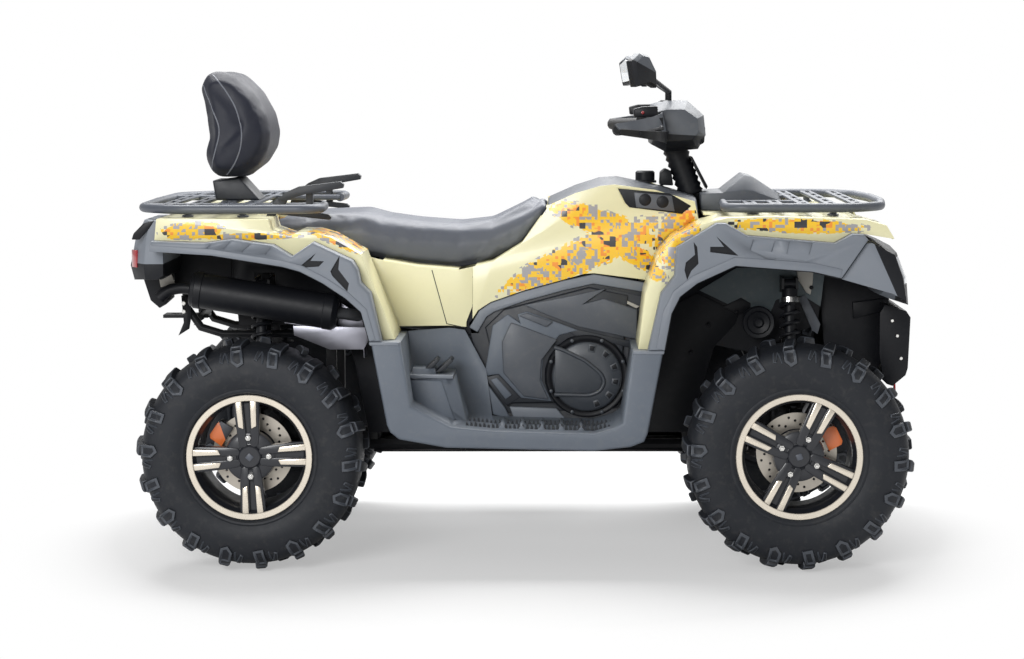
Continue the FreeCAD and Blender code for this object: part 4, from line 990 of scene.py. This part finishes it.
def shocks():
    whole = bmesh.new()
    for x in axles.values():
        top, foot = (Vector((x, -y, z)) for y, z in (shockLook["top"], shockLook["foot"]))
        length = (foot - top).length
        parts = [([(0.0, 0.0), (0.0, 0.010), (0.016, 0.022), (0.040, 0.022), (0.042, 0.015),
                   (length * 0.6, 0.015), (length * 0.6, 0.010), (length, 0.010), (length, 0.0)], 24, 0)]
        collars = ((0.040, 0.054, 0.0290), (length - 0.064, length - 0.052, 0.0285))
        parts += [([(low, 0.0), (low, radius), (high, radius), (high, 0.0)], 32, 1)
                  for low, high, radius in collars]
        for steps, sides, index in parts:
            onBothSides(whole, turnedBody(top, foot, steps, sides), index)
        along = (foot - top).normalized()
        side = along.cross(Vector((1, 0, 0))).normalized()
        other = along.cross(side)
        count = int(shockLook["coils"] * shockLook["stepsPerCoil"])
        points = []
        for k in range(count + 1):
            angle = 2 * math.pi * shockLook["coils"] * k / count
            reach = 0.056 + (length - 0.122) * k / count
            aside = side * math.cos(angle) + other * math.sin(angle)
            points.append(top + along * reach + aside * shockLook["spring"])
        onBothSides(whole, tube(points, shockLook["wire"], 0.0, 2), 0)
        half = Vector((0.016, 0, 0))
        for eye in (top, foot):
            steps = [(0.0, 0.0), (0.0, 0.0145), (0.032, 0.0145), (0.032, 0.0)]
            onBothSides(whole, turnedBody(eye - half, eye + half, steps, 20), 0)
    makePiece(whole, "shocks.finished", "chassis", ["black", "chrome"], ["shocks"])


shocks()
print("muffler and shocks made")

# Racks: round tubes, flat slotted boards and short legs
rackLook = {"z": 0.984, "tube": 0.0128, "rail": 0.0085, "board": 0.018, "boardHigh": 0.0040, "edge": 0.0028,
            "slotWide": 0.013, "slotShare": 0.62, "legY": 0.380}


def rackBoard(whole, x, low, high, slots):
    z = rackLook["z"] + rackLook["boardHigh"]
    bm = block((2 * rackLook["board"], high - low, 0.009), (x, (low + high) / 2, z - 0.0008))
    bevelSharp(bm, rackLook["edge"])
    cutter = bmesh.new()
    for k in range(slots):
        y = low + (high - low) * (k + 0.5) / slots
        length = (high - low) / slots * rackLook["slotShare"]
        addTo(cutter, block((rackLook["slotWide"], length, 0.03), (x, y, z)))
    addTo(whole, carved(bm, cutter), 0)


# Loop and inner rails as (x, y) points, boards as (x, low y, high y, slots), legs as (x, foot)
def rack(name, node, loop, boards, rails, legs):
    whole = bmesh.new()
    z = rackLook["z"]
    path = [(x, -y, z) for x, y in loop] + [(x, y, z) for x, y in reversed(loop)]
    addTo(whole, tube(path, rackLook["tube"], 0.045, 6), 0)
    for board in boards:
        rackBoard(whole, *board)
    for points in rails:
        onBothSides(whole, tube([(x, -y, z) for x, y in points], rackLook["rail"], 0.02), 0)
    for x, foot in legs:
        leg = spun([(0.0, foot), (0.016, foot), (0.016, foot + 0.004), (0.010, foot + 0.006), (0.010, z),
                    (0.0, z)], 20)
        turned(leg, math.pi / 2, axis="X")
        onBothSides(whole, shifted(leg, (x, -rackLook["legY"], 0)), 0)
    makePiece(whole, name, "chassis", ["rack"], [node])


rack("rack.front", "front_rack",
     [(0.560, 0.168), (0.552, 0.396), (0.590, 0.430), (0.900, 0.430), (0.985, 0.340), (1.012, 0.120)],
     [(0.630, -0.424, -0.162, 2), (0.630, 0.162, 0.424, 2), (0.700, -0.424, -0.162, 2),
      (0.700, 0.162, 0.424, 2), (0.776, -0.424, 0.424, 5), (0.850, -0.424, 0.424, 5),
      (0.925, -0.394, 0.394, 5)],
     [[(0.560, 0.162), (0.776, 0.162)]], [(0.630, 0.9645), (0.850, 0.9605)])
rack("rack.rear", "rear_rack",
     [(-0.566, 0.240), (-0.560, 0.396), (-0.600, 0.430), (-0.960, 0.430), (-1.066, 0.330), (-1.074, 0.010)],
     [(-0.777, -0.424, 0.424, 5), (-0.850, -0.424, 0.424, 5), (-0.930, -0.424, 0.424, 5),
      (-1.005, -0.380, 0.380, 5)],
     [[(-0.566, 0.240), (-1.066, 0.240)]], [(-0.777, 0.9600), (-0.930, 0.9615)])
print("racks made")

# Steering pod: grey upper and black lower half, lamp unit in front, hand covers and switches at the grips
podLook = {"split": 1.2050, "edge": 0.005, "lampY": 0.062, "lampHalf": 0.040, "bootSteps": 8,
           "bootPitch": 0.019, "bootRadius": 0.0370, "bootValley": 0.0315}
# Hand covers: middle line seen from above, heights of the top edge, the split and the foot along it
handLine = [(0.405, -0.130), (0.398, -0.220), (0.372, -0.310), (0.325, -0.385), (0.262, -0.432)]
handTop = (1.246, 1.240, 1.232, 1.224, 1.214)
handSplit = (1.186, 1.188, 1.190, 1.194, 1.200)
handFoot = (1.150, 1.156, 1.164, 1.174, 1.184)


# Half of a hand cover: a thin shell from the pod round the grip's outer end, leaning back at its top
def handCover(top, foot, lean):
    bm = bmesh.new()
    rows = []
    for (x, y), up, down in zip(handLine, top, foot):
        rows.append([bm.verts.new((x - lean, y + 0.4 * lean, up)), bm.verts.new((x, y, down))])
    for one, two in zip(rows, rows[1:]):
        bm.faces.new((one[0], two[0], two[1], one[1]))
    bmesh.ops.subdivide_edges(bm, edges=bm.edges[:], cuts=2, smooth=0.6, use_grid_fill=True)
    bmesh.ops.recalc_face_normals(bm, faces=bm.faces)
    bmesh.ops.solidify(bm, geom=bm.faces[:], thickness=0.004)
    bmesh.ops.recalc_face_normals(bm, faces=bm.faces)
    return bm


def pod():
    whole = bmesh.new()
    addTo(whole, twoTone("handlebar_pod", podLook["edge"], (0, 0, podLook["split"]), (-0.06, 0, -1)))
    unit = [(447, 1211), (461, 1231), (492, 1213), (513, 1198), (510, 1154), (480, 1138), (449, 1150)]
    midPlates(whole, [(unit, 0.1215, 0.004, 1)])
    sidePlates(whole, [([(456, 1208), (464, 1222), (478, 1213), (476, 1204)], 0.1235, 0.1200, 0.001, 2),
                       ([(470, 1196), (500, 1188), (498, 1162), (474, 1154)], 0.1232, 0.1200, 0.002, 3)])
    glass = [(505, 1190), (511.5, 1189), (509, 1160), (503, 1160)]
    for y in (-podLook["lampY"], podLook["lampY"]):
        addTo(whole, plate(metres(glass), y - podLook["lampHalf"], y + podLook["lampHalf"], 0.001), 2)
    dash = [(386, 1262), (392, 1274), (456, 1272.5), (466, 1262)]
    midPlates(whole, [(dash, 0.075, 0.003, 1)])
    onBothSides(whole, handCover(handTop, handSplit, 0.012), 0)
    onBothSides(whole, handCover(handSplit, handFoot, -0.006), 1)
    switches = [(306, 1229), (304, 1252), (330, 1259), (372, 1260), (372, 1230)]
    sidePlates(whole, [(switches, 0.262, 0.205, 0.004, 1)])
    roundParts(whole, [(0.0, -0.267), (0.003, -0.267), (0.0045, -0.2655), (0.0045, -0.255)], 16,
               [(0.330, 1.242)], 4)
    boot = [(0.0, 0.0), (0.0, 0.030)]
    for k in range(podLook["bootSteps"]):
        along = podLook["bootPitch"] * k
        boot += [(0.006 + along, podLook["bootRadius"]), (0.015 + along, podLook["bootValley"])]
    boot += [(0.160, 0.034), (0.164, 0.0)]
    addTo(whole, turnedBody((0.4803, 0, 1.0000), (0.4258, 0, 1.1497), boot, 40), 1)
    makePiece(whole, "pod", "handlebar", ["panel", "black", "lens", "pit", "red"],
              ["handlebar_pod"], smooth=40.0)


pod()

# Mirrors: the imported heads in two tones, with glass on their rearward side; outline in millimetres
mirrorLook = {"edge": 0.003, "centre": (0.320, -0.430, 1.36), "turn": 50.0, "middle": (320, 1358),
              "glassWide": 0.86, "glassHigh": 0.76, "glassY": (-0.4135, -0.4105),
              "outline": [(276, 1384), (306, 1405), (335, 1400), (366, 1356), (369, 1311), (341, 1323),
                          (292, 1314)]}


def mirrors():
    whole = bmesh.new()
    addTo(whole, twoTone("mirrors", mirrorLook["edge"], (0.320, 0, 1.376), (0.55, 0, 1)))
    midX, midZ = mirrorLook["middle"]
    small = [(midX + (x - midX) * mirrorLook["glassWide"], midZ + (z - midZ) * mirrorLook["glassHigh"])
             for x, z in mirrorLook["outline"]]
    glass = plate(metres(small), *mirrorLook["glassY"], 0.0008)
    turned(glass, math.radians(mirrorLook["turn"]), mirrorLook["centre"], "Z")
    onBothSides(whole, glass, 2)
    makePiece(whole, "mirrors.finished", "handlebar", ["black", "panel", "mirror"],
              ["mirrors"])


mirrors()
print("steering pieces made")

# Wheel arch liners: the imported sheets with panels, plates and mud flaps laid on them
linerLook = {"face": 0.1802, "bolts": [(0.811, 0.745), (0.600, 0.676), (0.520, 0.640), (0.470, 0.560)]}


def liners():
    face = linerLook["face"]
    whole = bmesh.new()
    addTo(whole, mergedCopy("arch_liners"), 1)
    sidePlates(whole, [
        # Panel beside the front shock, its pale bracket and the slanted strip below it
        ([(494, 737), (599, 801), (744, 802), (850, 797), (838, 690), (800, 714), (755, 725), (711, 709),
          (695, 670), (622, 675)], face + 0.003, face, 0.001, 0),
        ([(769, 800), (817, 800), (815, 760), (809, 724), (797, 730), (772, 769)], face + 0.008,
         face + 0.002, 0.002, 2),
        ([(775, 714), (794, 725), (838, 640), (830, 612), (815, 622)], face + 0.006, face + 0.002, 0.001, 3),
        # Mud flaps behind the front wheel and in front of the rear one, plate over the rear wheel
        ([(421, 696), (487, 730), (608, 674), (598, 641), (536, 574), (514, 501), (490, 420), (474, 330),
          (330, 330), (330, 600), (385, 660)], face + 0.002, face - 0.004, 0.002, 1),
        ([(-440, 716), (-420, 640), (-330, 620), (-330, 330), (-452, 330), (-486, 520), (-520, 640)],
         face + 0.002, face - 0.004, 0.002, 1),
        ([(-1003, 888), (-838, 872), (-838, 700), (-880, 712), (-1003, 735)], face + 0.002,
         face - 0.004, 0.002, 1),
        # Splash plate in front and its step, two plates that fill the frame, lug above the horn
        ([(830, 800), (886, 801), (1004, 757), (1036, 735), (1036, 560), (1000, 500), (930, 470),
          (862, 470), (846, 640)], 0.150, 0.146, 0.002, 1),
        ([(931, 700), (1024, 712), (1030, 676), (934, 652)], 0.156, 0.149, 0.003, 1),
        ([(-176, 700), (-130, 700), (-130, 622), (-176, 622)], 0.252, 0.248, 0.001, 1),
        ([(-112, 402), (-70, 402), (-70, 360), (-112, 360)], 0.252, 0.248, 0.001, 1),
        ([(610, 668), (560, 690), (612, 716), (640, 700), (640, 676)], face + 0.006, face, 0.002, 1)])
    roundParts(whole, [(0.0, -face - 0.0115), (0.004, -face - 0.0115), (0.006, -face - 0.0095),
                       (0.006, -face - 0.001)], 12, linerLook["bolts"], 1)
    makePiece(whole, "liners", "chassis", ["liner", "black", "pale", "panel"],
              ["arch_liners"], smooth=40.0)


liners()

# Small parts: horn, socket panel, filler cap, bolts, brackets, side lenses, winch strap and grille
smallLook = {"sockets": [(0.337, 0.999), (0.386, 0.993)], "cap": (0.345, 0.0, 1.040),
             "horn": (0.657, 0, 0.652), "bracketBolts": [(-0.982, 0.1462, 0.700), (-0.982, 0.1462, 0.676)],
             "bumperBolts": [(1.049, 0.2362, 0.612), (1.034, 0.2362, 0.655), (1.060, 0.2362, 0.548)],
             "sideLens": (-1.0700, -0.4330, 0.850), "lensTurn": -56.0, "slats": 6, "slatPitch": 20.0}


def bolts(whole, places, radius, index):
    for x, y, z in places:
        head = [(0.0, -0.006), (radius * 0.7, -0.006), (radius, -0.004), (radius, 0.001), (0.0, 0.001)]
        onBothSides(whole, shifted(spun(head, 12), (x, -y, z)), index)


# Flat parts on both sides: outline, outer and inner y, bevel, finish
def smallPlates(whole):
    sidePlates(whole, [
        # Pale bracket at the tail, plate on the towing frame, two plates of the heat shield
        ([(-1030, 806), (-996, 811), (-982, 772), (-1022, 759)], 0.3040, 0.3000, 0.001, 3),
        ([(-990, 722), (-968, 714), (-961, 668), (-968, 626), (-1000, 606), (-984, 644)],
         0.1460, 0.1415, 0.001, 0),
        ([(-515, 714), (-458, 674), (-452, 644), (-528, 644)], 0.3000, 0.2970, 0.001, 4),
        ([(-648, 653), (-440, 648), (-434, 618), (-450, 586), (-546, 586), (-580, 600), (-645, 626)],
         0.3330, 0.3300, 0.001, 4),
        # Cap on the tail's corner and the seam of the side panel
        ([(-1006, 958), (-1036, 950), (-1064, 922), (-1070, 905), (-1048, 905), (-1020, 936)],
         0.4830, 0.4740, 0.003, 0),
        (groove((-262, 803), (-221, 650), 2.4), 0.2624, 0.2600, 0.0, 0),
        (groove((-222, 651), (-170, 640), 2.4), 0.2624, 0.2600, 0.0, 0)])


def grille(whole):
    frame = [(x - 2, z) for x, z in band([(1072, 712), (1066.5, 790), (1046, 842)], 4.0)]
    midPlates(whole, [(frame, 0.146, 0.001, 0)])
    for k in range(smallLook["slats"]):
        z = 722.0 + smallLook["slatPitch"] * k
        x = 1070.5 - 0.073 * (z - 712) if z < 790 else 1065.5 - 0.40 * (z - 790)
        slat = [(x - 6, z - 4), (x + 3.0, z - 4), (x + 2.4, z + 4), (x - 6, z + 4)]
        midPlates(whole, [(slat, 0.142, 0.0012, 2)])


def smallParts():
    whole = bmesh.new()
    sidePlates(whole, [([(261, 1031), (406, 1017), (466, 981), (440, 959), (293, 978), (281, 991)],
                        0.2618, 0.2580, 0.001, 0),
                       ([(306, 1020), (412, 1010), (420, 966), (312, 978)], 0.2632, 0.2600, 0.0015, 2)])
    roundParts(whole, [(0.0, -0.2668), (0.013, -0.2668), (0.0145, -0.2660), (0.0145, -0.2645),
                       (0.0172, -0.2640), (0.0172, -0.2600), (0.0, -0.2600)], 32, smallLook["sockets"], 0)
    cap = spun([(0.0, -0.030), (0.024, -0.030), (0.028, -0.026), (0.028, -0.004), (0.033, -0.002),
                (0.033, 0.004), (0.0, 0.004)], 40)
    turned(cap, -math.pi / 2, axis="X")
    addTo(whole, shifted(cap, smallLook["cap"]), 0)
    # Fin in front of the column and key block behind it
    midPlates(whole, [([(521, 1018), (525, 1026), (480, 1112), (474, 1109)], 0.045, 0.0015, 0),
                      ([(386, 1030), (388, 1066), (402, 1078), (420, 1070), (426, 1028)], 0.034, 0.004, 0)])
    horn = spun([(0.0, -0.262), (0.010, -0.264), (0.016, -0.258), (0.030, -0.262), (0.034, -0.256),
                 (0.043, -0.258), (0.046, -0.254), (0.046, -0.238), (0.030, -0.226), (0.012, -0.222),
                 (0.012, -0.180), (0.0, -0.180)], 40)
    addTo(whole, shifted(horn, smallLook["horn"]), 0)
    smallPlates(whole)
    lens = plate([(-0.015, -0.024), (0.015, -0.024), (0.015, 0.024), (-0.015, 0.024)], -0.003, 0.003, 0.0015)
    turned(lens, math.radians(smallLook["lensTurn"]), axis="Z")
    onBothSides(whole, shifted(lens, smallLook["sideLens"]), 6)
    bolts(whole, smallLook["bracketBolts"], 0.0065, 1)
    bolts(whole, smallLook["bumperBolts"], 0.0055, 1)
    strap = [(1.060, 0.430), (1.064, 0.430), (1.062, 0.470), (1.058, 0.470)]
    addTo(whole, plate(strap, -0.112, -0.088, 0.0005), 5)
    grille(whole)
    makePiece(whole, "small.parts", "chassis",
              ["black", "chrome", "panel", "pale", "shield", "strap", "red"])


smallParts()
print("small parts made")

# Soft pieces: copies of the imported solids, remeshed, smoothed and blown up as cloth; seams in millimetres
softLook = {"voxel": 0.0065, "relax": 12, "relaxFactor": 0.6, "shrink": 0.004, "pressure": 4.0,
            "stiff": 18.0, "frames": 20, "cap": 0.010, "piping": 0.0022}
seams = {"seat": [],
         "backrest": [[(-926, 1346), (-897, 1272), (-866, 1198), (-882, 1138), (-903, 1064)],
                      [(-909, 1369), (-859, 1323), (-819, 1260), (-803, 1192), (-807, 1146), (-828, 1095),
                       (-863, 1058)]]}


# Blows a piece up as cloth and holds it within the cap's distance of where it started
def blownUp(piece):
    start = [vert.co.copy() for vert in piece.data.vertices]
    cloth = piece.modifiers.new("cloth", "CLOTH")
    cloth.settings.use_pressure = True
    cloth.settings.uniform_pressure_force = softLook["pressure"]
    cloth.settings.effector_weights.gravity = 0.0
    cloth.settings.tension_stiffness = softLook["stiff"]
    cloth.settings.compression_stiffness = softLook["stiff"]
    scene = bpy.context.scene
    for number in range(1, softLook["frames"] + 1):
        scene.frame_set(number)
    applied(piece)
    for vert, rest in zip(piece.data.vertices, start):
        move = vert.co - rest
        if move.length > softLook["cap"]:
            vert.co = rest + move.normalized() * softLook["cap"]
    scene.frame_set(1)


def softPiece(node, name, look):
    mesh = nodes[node].data.copy()
    piece = linked(mesh, name)
    low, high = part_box(node)
    middle = (low + high) / 2
    size = high - low
    for vert in mesh.vertices:
        offset = vert.co - middle
        vert.co = middle + Vector([offset[i] * (1 - 2 * softLook["shrink"] / size[i]) for i in range(3)])
    remesh = piece.modifiers.new("remesh", "REMESH")
    remesh.mode = "VOXEL"
    remesh.voxel_size = softLook["voxel"]
    relax = piece.modifiers.new("relax", "SMOOTH")
    relax.iterations = softLook["relax"]
    relax.factor = softLook["relaxFactor"]
    applied(piece)
    blownUp(piece)
    piece.data.materials.clear()
    piece.data.materials.append(looks[look])
    piece.data.polygons.foreach_set("use_smooth", [True] * len(piece.data.polygons))
    return piece


# Piping along a line seen from the side, laid on the cushion's surface on both sides
def sidePiping(piece, line, radius):
    tree = BVHTree.FromObject(piece, bpy.context.evaluated_depsgraph_get())
    points = roundedPath([(x, 0.0, z) for x, z in metres(line)], 0.03)
    fine = []
    for one, two in zip(points, points[1:]):
        steps = max(1, int((two - one).length / 0.012))
        fine += [one.lerp(two, k / steps) for k in range(steps)]
    whole = bmesh.new()
    for side in (-1, 1):
        path = []
        for point in fine + [points[-1]]:
            hit = tree.ray_cast(Vector((point.x, side * 0.5, point.z)), Vector((0, -side, 0)))[0]
            if hit:
                path.append(hit - Vector((0, side * radius * 0.3, 0)))
        addTo(whole, tube(path, radius, 0.0, 2))
    return whole


def softSeat():
    for node, look in (("seat", "vinyl"), ("backrest", "vinylDark")):
        piece = softPiece(node, node + ".cushion", look)
        pipes = [sidePiping(piece, line, softLook["piping"]) for line in seams[node]]
        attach(piece, "chassis")
        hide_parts(node)
        if pipes:
            whole = bmesh.new()
            for pipe in pipes:
                addTo(whole, pipe)
            makePiece(whole, node + ".piping", "chassis", ["piping"])


softSeat()
print("soft pieces made")

# Floor, light and background; the floor turns white away from the vehicle, lamps are in metres and watts
stageLook = {"floor": 0.80, "world": 0.26, "gloss": 0.50, "lift": 0.42, "fadeFrom": 0.95, "fadeX": 1.55,
             "fadeY": 1.75, "fadeMiddle": 0.15}
lamps = [{"place": (0.0, 1.1, 3.2), "aim": (0.0, -0.3, 0.3), "size": (4.2, 2.0), "power": 206.0},
         {"place": (-2.0, -5.6, 2.6), "aim": (0.0, 0.0, 0.6), "size": (2.6, 2.0), "power": 208.0},
         {"place": (1.5, 4.5, 3.2), "aim": (0.0, 0.0, 0.7), "size": (3.5, 2.0), "power": 70.0}]


def lamp(name, place, aim, size, power):
    data = bpy.data.lights.new(name, "AREA")
    data.shape = "RECTANGLE"
    data.size, data.size_y = size
    data.energy = power
    light = bpy.data.objects.new(name, data)
    light.location = place
    light.rotation_euler = (Vector(aim) - Vector(place)).to_track_quat("-Z", "Y").to_euler()
    bpy.context.scene.collection.objects.link(light)


def floorPiece():
    bm = bmesh.new()
    bmesh.ops.create_grid(bm, x_segments=1, y_segments=1, size=40.0)
    mesh = bpy.data.meshes.new("floor")
    bm.to_mesh(mesh)
    bm.free()
    floor = linked(mesh, "floor")
    material = bpy.data.materials.new("floorWhite")
    material.use_nodes = True
    tree = material.node_tree
    tree.nodes.clear()
    place = Wire(tree).node("ShaderNodeTexCoord", None, None, "Object")
    acrossX = place.sum("ABSOLUTE", place.axis("X")) * (1.0 / stageLook["fadeX"])
    acrossY = place.sum("ABSOLUTE", place.axis("Y") - stageLook["fadeMiddle"]) * (1.0 / stageLook["fadeY"])
    away = place.sum("SQRT", acrossX * acrossX + acrossY * acrossY)
    fade = place.node("ShaderNodeMapRange", {"interpolation_type": "SMOOTHSTEP"},
                      {"Value": away, "From Min": stageLook["fadeFrom"] / stageLook["fadeX"],
                       "From Max": 1.0})
    direct = place.node("ShaderNodeLightPath") * stageLook["lift"]
    fade = place.sum("MAXIMUM", fade, direct)
    flat = place.node("ShaderNodeBsdfDiffuse", None, {"Color": (stageLook["floor"],) * 3 + (1.0,)})
    glow = place.node("ShaderNodeEmission", None, {"Color": (1, 1, 1, 1), "Strength": 1.0})
    both = place.node("ShaderNodeMixShader", None, {0: fade, 1: flat, 2: glow})
    end = tree.nodes.new("ShaderNodeOutputMaterial")
    tree.links.new(both.socket, end.inputs["Surface"])
    mesh.materials.append(material)


def studio():
    floorPiece()
    world = bpy.data.worlds.new("studio")
    world.use_nodes = True
    bpy.context.scene.world = world
    tree = world.node_tree
    path = tree.nodes.new("ShaderNodeLightPath")
    direct = Wire(tree, path.outputs["Is Camera Ray"]) * (1.0 - stageLook["world"])
    gloss = Wire(tree, path.outputs["Is Glossy Ray"]) * (stageLook["gloss"] - stageLook["world"])
    back = tree.nodes["Background"]
    back.inputs["Color"].default_value = (1, 1, 1, 1)
    tree.links.new((direct + gloss + stageLook["world"]).socket, back.inputs["Strength"])
    for number, values in enumerate(lamps):
        lamp("lamp.%d" % number, **values)
    bpy.context.scene.view_settings.view_transform = "Standard"


studio()
print("studio set")
